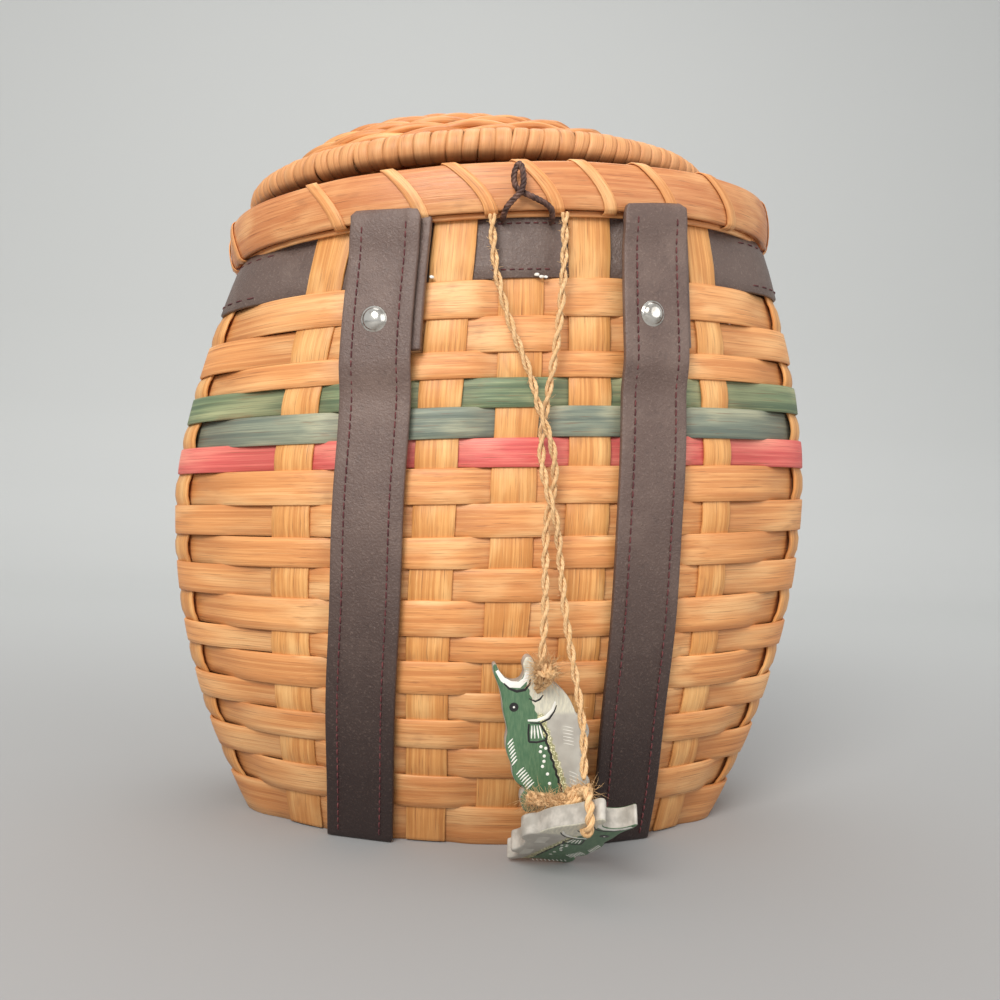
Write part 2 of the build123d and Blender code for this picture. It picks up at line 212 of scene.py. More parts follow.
class Oval:
    """A D-shaped oval with places and outward normals by distance round it from the front."""

    def __init__(self, a, b, c):
        table = [(a * math.sin(t), -b * math.cos(t), math.sin(t) / a, -math.cos(t) / b)
                 for t in [math.pi / 2 * i / 60 for i in range(61)]]
        table += [(a - c + c * math.cos(t), c * math.sin(t), math.cos(t), math.sin(t))
                  for t in [math.pi / 2 * i / 20 for i in range(1, 21)]]
        table += [((a - c) * (1 - i / 12), c, 0.0, 1.0) for i in range(1, 13)]
        self.table = table
        self.reach = [0.0]
        for p, q in zip(table, table[1:]):
            self.reach.append(self.reach[-1] + math.dist(p[:2], q[:2]))
        self.half = self.reach[-1]

    def at(self, s):
        side = 1
        s = (s + self.half) % (2 * self.half) - self.half
        if s < 0:
            side, s = -1, -s
        low, high = 0, len(self.reach) - 1
        while high - low > 1:
            mid = (low + high) // 2
            if self.reach[mid] <= s:
                low = mid
            else:
                high = mid
        f = (s - self.reach[low]) / (self.reach[high] - self.reach[low])
        x, y, nx, ny = [p + (q - p) * f for p, q in zip(self.table[low], self.table[high])]
        size = math.hypot(nx, ny)
        return side * x, y, side * nx / size, ny / size


ovals = {}


def oval_at(z):
    key = round(min(z, RIM_BOTTOM) * 4)
    if key not in ovals:
        ovals[key] = Oval(*[swell(key / 4, BASE[k], BELLY[k], MOUTH[k]) for k in "abc"])
    return ovals[key]


def tipped(x, y, z):
    """A point of the level at height z, whose plane tips to one side towards the rim."""
    turn = math.radians(TIP_ANGLE * min(max(z, 0.0) / RIM_BOTTOM, 1.0))
    if z > RIM_BOTTOM:
        up = z - RIM_BOTTOM
        return Vector((x * math.cos(turn) - up * math.sin(turn), y,
                       RIM_BOTTOM + x * math.sin(turn) + up * math.cos(turn)))
    return Vector((x * math.cos(turn), y, z + x * math.sin(turn)))


def station_distance(z, k):
    """Distance round the level from the middle of the front to stake k, or a place between."""
    pitch = swell(z, *STAKE_PITCH)
    half = oval_at(z).half
    k = (k + STAKES / 2) % STAKES - STAKES / 2
    side = -1 if k < 0 else 1
    k = abs(k)
    front = FRONT_STAKES * pitch
    corner = SIDE_STAKE_AT[side] * half
    if k <= FRONT_STAKES:
        return side * k * pitch
    if k <= FRONT_STAKES + 1:
        return side * (front + (k - FRONT_STAKES) * (corner - front))
    share = (k - FRONT_STAKES - 1) / (STAKES / 2 - FRONT_STAKES - 1)
    return side * (corner + share * (half - corner))


def corner_rise(z, k):
    """The stiff weavers bend sharply round the two side stakes, and stand out there."""
    near = abs(abs((k + STAKES / 2) % STAKES - STAKES / 2) - FRONT_STAKES - 1)
    fade = min(max((RIM_BOTTOM + 3.0 - z) / 8.0, 0.0), 1.0)
    return CORNER_RISE * math.exp(-(near / 0.42) ** 2) * fade


def wall_place(z, k, out, along=0.0):
    """The point at height z by stake k, standing out from the wall, along mm round from it."""
    x, y, nx, ny = oval_at(z).at(station_distance(z, k) + along)
    out += corner_rise(z, k)
    return tipped(x + nx * out, y + ny * out, z)


# ---------------------------------------------------------------- mesh helpers
def keep(mesh, name, finish, body="basket", slot="splint", smooth=True, scale=MM):
    """Turns a bmesh in mm into a piece that rides on a body, with its finish and slot."""
    bmesh.ops.scale(mesh, vec=(scale, scale, scale), verts=mesh.verts)
    for face in mesh.faces:
        face.smooth = smooth
    data = bpy.data.meshes.new(name)
    mesh.to_mesh(data)
    mesh.free()
    piece = bpy.data.objects.new(name, data)
    bpy.context.scene.collection.objects.link(piece)
    data.materials.append(finish)
    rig.ride(piece, body)
    if slot:
        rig.slot(piece, slot)
    return piece


def bent_sheet(mesh, n_long, n_wide, place, size, thick, closed=False, tone=0.0, tuck_shade=None):
    """Adds a strip to a bmesh: place(u, v) gives its mid line, u along 0..1, v across -1..1."""
    part = bmesh.new()
    uv = part.loops.layers.uv.new("strip")
    tones = part.verts.layers.float.new("tone")
    tuck_shades = part.verts.layers.float.new("tuck_shade")
    bmesh.ops.create_grid(part, x_segments=n_long, y_segments=n_wide, size=0.5, calc_uvs=True)
    for vert in part.verts:
        u, v = vert.co.x + 0.5, vert.co.y * 2
        vert[tones] = tone
        # Each vertex carries how much painted shade the strip takes there, where it passes under another strip.
        vert[tuck_shades] = tuck_shade(u) if tuck_shade else 0.0
        vert.co = place(u, v)
    for face in part.faces:
        for loop in face.loops:
            loop[uv].uv = (loop[uv].uv.x * size[0], loop[uv].uv.y * size[1])
    if closed:
        bmesh.ops.remove_doubles(part, verts=part.verts, dist=0.01)
    part.normal_update()
    bmesh.ops.solidify(part, geom=part.faces[:], thickness=thick)
    data = bpy.data.meshes.new("strip")
    part.to_mesh(data)
    part.free()
    mesh.from_mesh(data)
    bpy.data.meshes.remove(data)


def new_mesh():
    mesh = bmesh.new()
    mesh.loops.layers.uv.new("strip")
    mesh.verts.layers.float.new("tone")
    mesh.verts.layers.float.new("tuck_shade")
    return mesh


def ease_edges(piece, width, angle=50, segments=2):
    bevel = piece.modifiers.new("eased edges", "BEVEL")
    bevel.width = width * MM
    bevel.segments = segments
    bevel.limit_method = "ANGLE"
    bevel.angle_limit = math.radians(angle)
    bevel.harden_normals = False


# ---------------------------------------------------------------- shader helpers
def srgb(r, g, b):
    return tuple(((v / 255 + 0.055) / 1.055) ** 2.4 if v > 10 else v / 3294.6
                 for v in (r, g, b)) + (1.0,)


class Wire:
    """A node's output socket; an expression on it adds Math nodes."""

    def __init__(self, sheet, socket):
        self.sheet = sheet
        self.socket = socket

    def math(self, kind, *others):
        inputs = dict(enumerate((self,) + others))
        return self.sheet.node("ShaderNodeMath", {"operation": kind}, inputs)

    def __add__(self, other):
        return self.math("ADD", other)

    def __sub__(self, other):
        return self.math("SUBTRACT", other)

    def __rsub__(self, other):
        return self.sheet.node("ShaderNodeMath", {"operation": "SUBTRACT"}, {0: other, 1: self})

    def __mul__(self, other):
        return self.math("MULTIPLY", other)

    __radd__ = __add__
    __rmul__ = __mul__

    def __truediv__(self, other):
        return self.math("DIVIDE", other)

    def __pow__(self, other):
        return self.math("POWER", other)

    def ramp(self, low, high):
        """0 below low, 1 above high, smooth between."""
        return self.sheet.node("ShaderNodeMapRange", {"interpolation_type": "SMOOTHSTEP"},
                               {"Value": self, "From Min": low, "From Max": high})


class Finish:
    """A material with one Principled shader."""

    def __init__(self, name, **plain):
        self.material = bpy.data.materials.new(name)
        self.material.use_nodes = True
        self.tree = self.material.node_tree
        self.shader = self.tree.nodes["Principled BSDF"]
        for socket, value in plain.items():
            self.shader.inputs[socket.replace("_", " ")].default_value = value

    def node(self, kind, settings=None, inputs=None, out=0):
        node = self.tree.nodes.new(kind)
        for key, value in (settings or {}).items():
            setattr(node, key, value)
        for key, value in (inputs or {}).items():
            if isinstance(value, Wire):
                self.tree.links.new(value.socket, node.inputs[key])
            else:
                node.inputs[key].default_value = value
        return Wire(self, node.outputs[out])

    def drive(self, socket, wire):
        self.tree.links.new(wire.socket, self.shader.inputs[socket])

    def mix(self, factor, first, second, blend="MIX"):
        """Colours mixed by a factor; MULTIPLY and others by name."""
        node = self.tree.nodes.new("ShaderNodeMix")
        node.data_type = "RGBA"
        node.blend_type = blend
        for key, value in ((0, factor), (6, first), (7, second)):
            if isinstance(value, Wire):
                self.tree.links.new(value.socket, node.inputs[key])
            else:
                node.inputs[key].default_value = value
        return Wire(self, node.outputs[2])

    def place(self, attribute="Object"):
        return self.node("ShaderNodeTexCoord", out=("Generated", "Normal", "UV", "Object").index(attribute))

    def strip_uv(self):
        return self.node("ShaderNodeUVMap", {"uv_map": "strip"})

    def value(self, name):
        return self.node("ShaderNodeAttribute", {"attribute_name": name}, out=2)

    def shifted(self, vector, scale, offset=(0, 0, 0)):
        return self.node("ShaderNodeMapping", inputs={"Vector": vector, "Scale": scale,
                                                      "Location": offset})

    def noise(self, vector, scale, detail=3.0, roughness=0.55):
        return self.node("ShaderNodeTexNoise", inputs={"Vector": vector, "Scale": scale,
                                                       "Detail": detail, "Roughness": roughness})

    def low_shade(self, colour):
        """Painted shade: the lower part of the basket is darkened towards brown, where less light reaches it."""
        height = self.node("ShaderNodeSeparateXYZ", inputs={0: self.place()}, out=2)
        return self.mix((1 - height.ramp(0.0, 0.085)) * 0.32, colour, srgb(128, 80, 44))

    def bump(self, height, strength, distance):
        wire = self.node("ShaderNodeBump", inputs={"Height": height, "Strength": strength,
                                                   "Distance": distance * MM})
        self.drive("Normal", wire)


def splint_finish(name, base, dark, pale, rough=0.5, fade=0.2):
    """Flat reed: long fibres along the strip, slow changes of tone, and painted shade where it passes under a crossing
    strip.
    """
    f = Finish(name)
    uv = f.strip_uv()
    tone = f.value("tone")
    tuck_shade = f.value("tuck_shade")
    shifted = f.node("ShaderNodeVectorMath", {"operation": "ADD"},
                     {0: uv, 1: f.node("ShaderNodeCombineXYZ", inputs={0: tone * 137.0, 1: tone * 71.0})})
    fibres = f.noise(f.shifted(shifted, (0.05, 1.9, 1.0)), 1.0, 3.0, 0.75)
    streaks = f.noise(f.shifted(shifted, (0.014, 0.6, 1.0)), 1.0, 3.0, 0.6)
    patches = f.noise(f.shifted(shifted, (0.035, 0.09, 1.0)), 1.0, 2.0, 0.5)
    colour = f.mix(streaks.ramp(0.36, 0.66), dark, base)
    colour = f.mix(patches.ramp(0.45, 0.72) * 0.75, colour, pale)
    colour = f.mix((1 - fibres.ramp(0.36, 0.54)) * 0.55, colour, dark)
    colour = f.mix(fibres.ramp(0.56, 0.70) * 0.35, colour, pale)
    lines = f.noise(f.shifted(shifted, (0.07, 2.3, 3.0)), 1.0, 2.0, 0.6)
    colour = f.mix((1 - lines.ramp(0.29, 0.42)) * 0.6, colour, srgb(124, 76, 44))
    stain = f.noise(f.shifted(shifted, (0.06, 0.16, 7.0)), 1.0, 3.0, 0.6)
    colour = f.mix(stain.ramp(0.60, 0.74) * 0.35, colour, srgb(150, 96, 60))
    # Painted shade: dark brown where the strip passes under a crossing strip, as deep as fade says.
    colour = f.mix(tuck_shade * fade, colour, srgb(92, 52, 26), "MIX")
    f.drive("Base Color", f.low_shade(colour))
    f.drive("Roughness", fibres * 0.25 + (rough - 0.12))
    f.bump(fibres * 0.7 + streaks * 0.3, 0.6, 0.3)
    return f.material


natural = splint_finish("natural_splint", srgb(234, 166, 102), srgb(206, 134, 76), srgb(246, 196, 136))
stake_reed = splint_finish("stake_splint", srgb(232, 168, 98), srgb(202, 134, 70), srgb(242, 192, 126))
green = splint_finish("green_splint", srgb(134, 147, 108), srgb(88, 106, 78), srgb(182, 182, 136))
grey_green = splint_finish("grey_green_splint", srgb(138, 144, 124), srgb(100, 110, 98),
                           srgb(184, 180, 148))
red = splint_finish("red_splint", srgb(232, 118, 106), srgb(206, 84, 80), srgb(246, 160, 136))
rim_reed = splint_finish("rim_reed", srgb(212, 144, 90), srgb(192, 119, 69), srgb(232, 175, 119), 0.42)


def leather_finish(name, low, high, worn, rough):
    """Fine-grained leather, dusty where it is worn, with painted shade that darkens it towards the foot."""
    f = Finish(name)
    where = f.place()
    height = f.node("ShaderNodeSeparateXYZ", inputs={0: where}, out=2)
    grain = f.noise(where, 1150.0, 3.0, 0.7)
    creases = f.noise(where, 420.0, 4.0, 0.65)
    wear = f.noise(where, 46.0, 3.0, 0.6)
    # Painted shade: from the low colour at the foot to the high colour above, for the light falling off towards the
    # foot; the pale marks below fade out there with it.
    colour = f.mix(height.ramp(0.02, 0.15), low, high)
    colour = f.mix(wear.ramp(0.42, 0.75) * 0.4 * height.ramp(0.0, 0.2), colour, worn)
    colour = f.mix((1 - creases.ramp(0.30, 0.46)) * 0.2, colour, srgb(40, 30, 29))
    colour = f.mix(grain.ramp(0.54, 0.70) * 0.5 * height.ramp(-0.1, 0.2), colour, worn)
    scuff = f.noise(f.shifted(where, (1.0, 1.0, 0.35)), 700.0, 2.0, 0.5)
    colour = f.mix(scuff.ramp(0.70, 0.78) * 0.25 * height.ramp(0.0, 0.2), colour, srgb(168, 148, 136))
    f.drive("Base Color", colour)
    f.drive("Roughness", creases * 0.24 + (rough - 0.12))
    f.bump(grain * 0.9 + creases * 0.5, 0.9, 0.4)
    return f.material


# The strap's first two colours are its painted shade at the foot and its colour higher up.
leather = leather_finish("strap_leather", srgb(45, 31, 28), srgb(98, 78, 70), srgb(136, 115, 104), 0.46)
band_leather = leather_finish("band_leather", srgb(98, 80, 72), srgb(98, 80, 72), srgb(140, 122, 111), 0.42)
thread = Finish("stitching", Roughness=0.8)
thread.drive("Base Color", thread.mix(thread.noise(thread.place(), 500.0).ramp(0.35, 0.7),
                                      srgb(76, 34, 38), srgb(112, 56, 56)))
nickel = Finish("nickel", Metallic=1.0)
nickel.drive("Base Color", nickel.mix(nickel.noise(nickel.place(), 300.0).ramp(0.4, 0.75),
                                      srgb(226, 222, 214), srgb(176, 168, 156)))
nickel.drive("Roughness", nickel.noise(nickel.place(), 500.0) * 0.18 + 0.08)


# ---------------------------------------------------------------- camera, light and floor
CAMERA_AT = Vector((-32.7, -425.0, 126.5))
CAMERA_YAW = -0.084
CAMERA_ROLL = 0.04
LENS = 36.0


def add_camera():
    data = bpy.data.cameras.new("photo_view")
    data.lens = LENS
    data.sensor_width = 36.0
    camera = bpy.data.objects.new("photo_view", data)
    bpy.context.scene.collection.objects.link(camera)
    right = Vector((math.cos(CAMERA_YAW), math.sin(CAMERA_YAW), 0))
    up = Vector((0, 0, 1))
    right, up = (right * math.cos(CAMERA_ROLL) + up * math.sin(CAMERA_ROLL),
                 up * math.cos(CAMERA_ROLL) - right * math.sin(CAMERA_ROLL))
    turn = Matrix((right, up, right.cross(up))).transposed()
    camera.matrix_world = Matrix.Translation(CAMERA_AT * MM) @ turn.to_4x4()
    data.clip_start = 0.01
    bpy.context.scene.camera = camera


def add_light(name, place, target, size, power, colour=(1, 1, 1)):
    data = bpy.data.lights.new(name, "AREA")
    data.shape = "DISK"
    data.size = size
    data.energy = power
    data.color = colour
    light = bpy.data.objects.new(name, data)
    bpy.context.scene.collection.objects.link(light)
    light.location = place
    light.rotation_euler = (Vector(target) - Vector(place)).to_track_quat("-Z", "Y").to_euler()


def add_stage():
    paper = Finish("backdrop_paper", Roughness=0.95)
    depth_into = paper.node("ShaderNodeSeparateXYZ", inputs={0: paper.place()}, out=1)
    # Painted shade: the floor is darker towards the front and paler towards the back and up the sweep.
    paper.drive("Base Color", paper.mix(depth_into.ramp(-0.25, 0.9), srgb(157, 156, 155), srgb(208, 209, 207)))
    mesh = bmesh.new()
    bmesh.ops.create_grid(mesh, x_segments=1, y_segments=40, size=1.0)
    depth, rise, sweep = 0.9, 2.4, 0.35
    for vert in mesh.verts:
        u = (vert.co.y + 1) / 2
        path = u * (depth + sweep * math.pi / 2 + rise + 2.0) - 2.0
        if path < depth:
            y, z = path, 0.0
        elif path < depth + sweep * math.pi / 2:
            turn = (path - depth) / sweep
            y, z = depth + sweep * math.sin(turn), sweep * (1 - math.cos(turn))
        else:
            y, z = depth + sweep, sweep + path - depth - sweep * math.pi / 2
        vert.co = Vector((vert.co.x * 4.0, y, z))
    for face in mesh.faces:
        face.smooth = True
    data = bpy.data.meshes.new("backdrop")
    mesh.to_mesh(data)
    mesh.free()
    data.materials.append(paper.material)
    backdrop = bpy.data.objects.new("backdrop", data)
    bpy.context.scene.collection.objects.link(backdrop)
    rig.stage(backdrop)


add_camera()
add_light("window", (-0.45, -1.15, 0.85), (0, 0, 0.15), 0.7, 17.8, (1.0, 0.985, 0.96))
add_light("fill", (0.9, -0.8, 0.5), (0, 0, 0.12), 1.2, 4.0)
add_light("top", (0.0, 0.25, 1.4), (0, 0, 0.1), 1.0, 5.0)
world = bpy.data.worlds.new("room")
bpy.context.scene.world = world
world.use_nodes = True
world.node_tree.nodes["Background"].inputs["Color"].default_value = (0.98, 0.99, 1.0, 1.0)
world.node_tree.nodes["Background"].inputs["Strength"].default_value = 0.62
bpy.context.scene.view_settings.view_transform = "Standard"
add_stage()

# ---------------------------------------------------------------- cords
TWINE_DIAMETER = 2.8
LOOP_CORD_DIAMETER = 2.0
KNOT_1 = Vector((10.6, -95.0, 62.0))
KNOT_2 = Vector((25.4, -104.1, 32.5))
TWINE_SHORT = [(-10.8, -88.0, 222.9), (-10.4, -89.8, 208.0), (-3.9, -91.4, 186.0),
               (4.2, -91.4, 169.0), (7.2, -93.4, 157.0), (12.6, -93.4, 145.0),
               (13.9, -90.8, 133.0), (11.4, -90.2, 121.0), (11.2, -92.6, 109.0),
               (12.0, -94.4, 86.0), (10.6, -95.0, 66.6)]
TWINE_LONG = [(13.9, -88.0, 225.0), (14.3, -89.8, 210.0), (13.2, -91.4, 187.0),
              (11.0, -91.4, 169.0), (9.6, -89.9, 157.0), (8.4, -90.2, 145.0),
              (9.8, -93.4, 133.0), (14.4, -94.2, 121.0), (16.2, -91.6, 109.0),
              (19.0, -93.6, 86.0), (23.6, -96.0, 64.0), (26.0, -99.4, 48.0),
              (25.4, -102.9, 36.9)]
CATCH_LOOP = [(-7.0, -85.4, 221.5), (-7.2, -90.6, 223.4), (-4.6, -92.6, 226.6), (-1.4, -94.4, 229.6),
              (-1.1, -94.6, 234.4), (-2.7, -93.8, 239.8), (-4.7, -92.8, 235.2), (-3.6, -92.2, 230.4),
              (1.2, -92.6, 228.6), (7.6, -91.4, 226.4), (9.8, -90.0, 224.0), (9.6, -85.2, 221.8)]


def smooth_route(points, name):
    """Points, in metres, along the NURBS line whose control points are the route's points."""
    data = bpy.data.curves.new(name + "_route", "CURVE")
    data.dimensions = "3D"
    data.resolution_u = 24
    spline = data.splines.new("NURBS")
    spline.points.add(len(points) - 1)
    for point, place in zip(spline.points, points):
        point.co = (*[v * MM for v in place], 1.0)
    spline.order_u = 3
    spline.use_endpoint_u = True
    holder = bpy.data.objects.new(name + "_route", data)
    line = bpy.data.meshes.new_from_object(holder)
    places = [v.co.copy() for v in line.vertices]
    bpy.data.objects.remove(holder)
    bpy.data.meshes.remove(line)
    bpy.data.curves.remove(data)
    return places


def even_points(places, step):
    """The same line in equal steps."""
    result = [places[0]]
    carry = 0.0
    for p, q in zip(places, places[1:]):
        length = (q - p).length
        while carry + length >= step:
            f = (step - carry) / length
            p = p.lerp(q, f)
            length *= 1 - f
            carry = 0.0
            result.append(p.copy())
        carry += length
    result.append(places[-1])
    return result


def carried_frames(places):
    """A side and an up direction at each point, carried along without twist."""
    frames = []
    side = Vector((1, 0, 0))
    for i, place in enumerate(places):
        ahead = (places[min(i + 1, len(places) - 1)] - places[max(i - 1, 0)]).normalized()
        side = (side - ahead * side.dot(ahead)).normalized()
        frames.append((place, side.copy(), ahead.cross(side)))
    return frames


def strand_tube(mesh, centres, radius, sides=6, tone=0.0, taper=None):
    """Adds a closed tube through centres, in mm: a grid rolled up round them."""
    count = len(centres) - 1
    part = bmesh.new()
    uv = part.loops.layers.uv.new("strip")
    tones = part.verts.layers.float.new("tone")
    part.verts.layers.float.new("tuck_shade")
    bmesh.ops.create_grid(part, x_segments=count, y_segments=sides, size=0.5, calc_uvs=True)
    length = sum((q - p).length for p, q in zip(centres, centres[1:]))
    frames = carried_frames(centres)
    for vert in part.verts:
        step = round((vert.co.x + 0.5) * count)
        turn = 2 * math.pi * (vert.co.y + 0.5)
        place, side, up = frames[step]
        r = radius * (taper(step / count) if taper else 1.0)
        vert[tones] = tone
        vert.co = place + (side * math.cos(turn) + up * math.sin(turn)) * r
    for face in part.faces:
        for loop in face.loops:
            loop[uv].uv = (loop[uv].uv.x * length, loop[uv].uv.y * sides)
    bmesh.ops.remove_doubles(part, verts=part.verts, dist=0.001 * radius)
    bmesh.ops.holes_fill(part, edges=part.edges, sides=sides)
    data = bpy.data.meshes.new("tube")
    part.to_mesh(data)
    part.free()
    mesh.from_mesh(data)
    bpy.data.meshes.remove(data)


def jute_finish():
    f = Finish("jute_twine")
    uv = f.strip_uv()
    fibre = f.noise(f.shifted(uv, (0.5, 2.2, 1.0)), 1.0, 3.0, 0.6)
    patch = f.noise(f.place(), 160.0, 2.0, 0.5)
    colour = f.mix(fibre.ramp(0.32, 0.62), srgb(188, 142, 92), srgb(240, 200, 150))
    colour = f.mix(patch.ramp(0.4, 0.7) * 0.4, colour, srgb(222, 176, 118))
    f.drive("Base Color", colour)
    f.shader.inputs["Roughness"].default_value = 0.9
    f.bump(fibre, 0.8, 0.3)
    return f.material


jute = jute_finish()


def twist_twine(name, points, far_end, with_pieces, seed):
    """Two-ply twine: two strands, each of two yarns, with loose fibres standing off."""
    rng = random.Random(seed)
    route = [p / MM for p in even_points(smooth_route(points, name), 0.9 * MM)]
    frames = carried_frames(route)
    mesh = new_mesh()
    lay = 15.0
    ply = TWINE_DIAMETER * 0.27
    for strand in range(2):
        centres = []
        for i, (place, side, up) in enumerate(frames):
            turn = 2 * math.pi * (i * 0.9 / lay + strand / 2)
            wander = 1 + 0.10 * noise.noise(Vector((i * 0.08, strand * 7.0, seed)))
            centres.append(place + (side * math.cos(turn) + up * math.sin(turn)) * ply * wander)
        inner = carried_frames(centres)
        for yarn in range(3):
            line = []
            for i, (place, side, up) in enumerate(inner):
                turn = -2 * math.pi * (i * 0.9 / 5.2 + yarn / 3)
                line.append(place + (side * math.cos(turn) + up * math.sin(turn)) * ply * 0.42)
            strand_tube(mesh, line, ply * 0.60, 5, tone=rng.random())

    def start():
        place, side, up = frames[rng.randrange(2, len(frames) - 2)]
        turn = rng.uniform(0, 2 * math.pi)
        outward = side * math.cos(turn) + up * math.sin(turn)
        return place + outward * 1.1, outward + side.cross(up) * rng.uniform(-1, 1)
    fuzz(mesh, rng, int(len(frames) * 0.8), start, (0.5, 1.5), 0.2)
    piece = keep(mesh, name, jute, slot="jute")
    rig.replaces(piece, name)
    length = sum((q - p).length for p, q in zip(route, route[1:])) * MM
    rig.cord(piece, exit=[v * MM for v in points[0]], length=length, diameter=TWINE_DIAMETER * MM,
            far_end=far_end, stiffness="limp", lay="hanging", with_pieces=with_pieces,
            path=[p * MM for p in route])
    return piece


def fuzz(mesh, rng, count, start, reach, spread):
    """Loose fibres that stand off a frayed knot."""
    for _ in range(count):
        root, way = start()
        bend = Vector((rng.gauss(0, 1), rng.gauss(0, 1), rng.gauss(0, 1)))
        far = rng.uniform(*reach)
        hair = [root + way * far * t + bend * far * spread * t * t for t in (0, 0.35, 0.7, 1.0)]
        strand_tube(mesh, hair, 0.10, 3, tone=rng.random(), taper=lambda t: 1 - 0.6 * t)


def twisted_pair(mesh, centres, radius, lay, rng):
    """Two plies wound round each other along a line, in mm."""
    for strand in range(2):
        line = []
        travelled = 0.0
        for i, (place, side, up) in enumerate(carried_frames(centres)):
            if i:
                travelled += (centres[i] - centres[i - 1]).length
            turn = 2 * math.pi * travelled / lay + math.pi * strand
            line.append(place + (side * math.cos(turn) + up * math.sin(turn)) * radius)
        strand_tube(mesh, line, radius * 1.15, 6, tone=rng.random())


def arc_between(a, b, bulge, count=14):
    """A line from a to b that bows out by the vector bulge at its middle."""
    return [a.lerp(b, i / (count - 1)) + bulge * math.sin(math.pi * i / (count - 1))
            for i in range(count)]


def knot_1_piece():
    """A frayed half hitch above the gill hole, with the loop of twine that goes through it."""
    rng = random.Random(1)
    mesh = new_mesh()
    centre = KNOT_1 + Vector((2.2, -0.6, 8.0))
    hole = KNOT_1 + Vector((0.2, 5.4, 0.6))
    twisted_pair(mesh, arc_between(centre + Vector((1.5, 0, 0)), hole, Vector((1.2, -2.4, 0.6))), 0.62, 7.0, rng)
    twisted_pair(mesh, arc_between(centre + Vector((-2.0, 0.5, -1.0)), hole, Vector((-0.6, -1.0, 0.4))), 0.6, 7.0, rng)
    for _ in range(5):
        axis = Vector((rng.uniform(-1, 1), rng.uniform(-0.4, 0.4), rng.uniform(-1, 1))).normalized()
        side = axis.orthogonal().normalized()
        up = axis.cross(side)
        loop = [centre + (side * math.cos(t) + up * math.sin(t)) * 2.5 + Vector((0.9, 0, 0)) * math.cos(t)
                for t in [2 * math.pi * i / 26 for i in range(25)]]
        twisted_pair(mesh, loop, 0.6, 5.0, rng)

    def start():
        way = Vector((rng.gauss(-0.4, 1), rng.gauss(-0.2, 0.7), rng.gauss(0.3, 0.9))).normalized()
        return centre + way * rng.uniform(1.8, 3.4), way
    fuzz(mesh, rng, 420, start, (1.2, 4.6), 0.45)
    piece = keep(mesh, "twine_knot_1", jute, slot="jute")
    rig.replaces(piece, "twine_knot_1")
    return piece


def knot_2_piece():
    """A frayed roll of twine lying across, and the loop of twine through the lower fish."""
    rng = random.Random(2)
    mesh = new_mesh()
    left, right = Vector((8.4, -94.6, 27.6)), KNOT_2 + Vector((2.6, 1.0, 0.4))
    roll = arc_between(left, right, Vector((0, -2.0, -1.6)), 24)
    for _ in range(4):
        shift = Vector((0, rng.uniform(-0.9, 0.9), rng.uniform(-1.3, 1.3)))
        twisted_pair(mesh, [p + shift for p in roll], 0.75, 7.0, rng)
    over_jaw = [(24.4, -104.6, 32.8), (24.4, -110.0, 35.4), (24.6, -117.0, 36.4), (24.8, -121.4, 28.6),
                (24.8, -117.0, 22.6), (24.8, -110.4, 22.8)]
    front = [p / MM for p in even_points(smooth_route(over_jaw, "over_jaw"), 0.8 * MM)]
    twisted_pair(mesh, front, 0.78, 8.0, rng)
    for t in (0.62, 0.7, 0.78):
        middle = left.lerp(right, t) + Vector((0, -2.0, -1.4)) * math.sin(math.pi * t)
        loop = [middle + Vector((0.5 * math.sin(a), 2.7 * math.cos(a), 2.9 * math.sin(a)))
                for a in [2 * math.pi * i / 22 for i in range(21)]]
        twisted_pair(mesh, loop, 0.62, 5.0, rng)

    def start():
        root = roll[rng.randrange(len(roll))]
        way = Vector((rng.gauss(-0.3, 0.8), rng.gauss(-0.3, 0.6), rng.gauss(0.1, 1))).normalized()
        return root + way * rng.uniform(1.0, 2.4), way
    fuzz(mesh, rng, 620, start, (1.0, 4.2), 0.4)
    piece = keep(mesh, "twine_knot_2", jute, slot="jute")
    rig.replaces(piece, "twine_knot_2")
    return piece


def cord_loop():
    cord = Finish("waxed_cord", Roughness=0.62)
    where = cord.place()
    cord.drive("Base Color", cord.mix(cord.noise(where, 420.0).ramp(0.35, 0.7),
                                      srgb(62, 38, 30), srgb(118, 84, 70)))
    cord.bump(cord.noise(where, 900.0), 0.6, 0.2)
    route = [p / MM for p in even_points(smooth_route(CATCH_LOOP, "catch_loop"), 0.35 * MM)]
    mesh = new_mesh()
    frames = carried_frames(route)
    for strand in range(3):
        line = []
        for i, (place, side, up) in enumerate(frames):
            turn = 2 * math.pi * (i * 0.35 / 4.6 + strand / 3)
            line.append(place + (side * math.cos(turn) + up * math.sin(turn)) * 0.48)
        strand_tube(mesh, line, 0.62, 6)
    piece = keep(mesh, "catch_loop", cord.material, slot="dark_cord")
    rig.replaces(piece, "catch_loop")
    length = sum((q - p).length for p, q in zip(route, route[1:])) * MM
    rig.cord(piece, exit=[v * MM for v in CATCH_LOOP[0]], length=length,
            diameter=LOOP_CORD_DIAMETER * MM, far_end="object", stiffness="limp", lay="hanging",
            path=[p * MM for p in route])


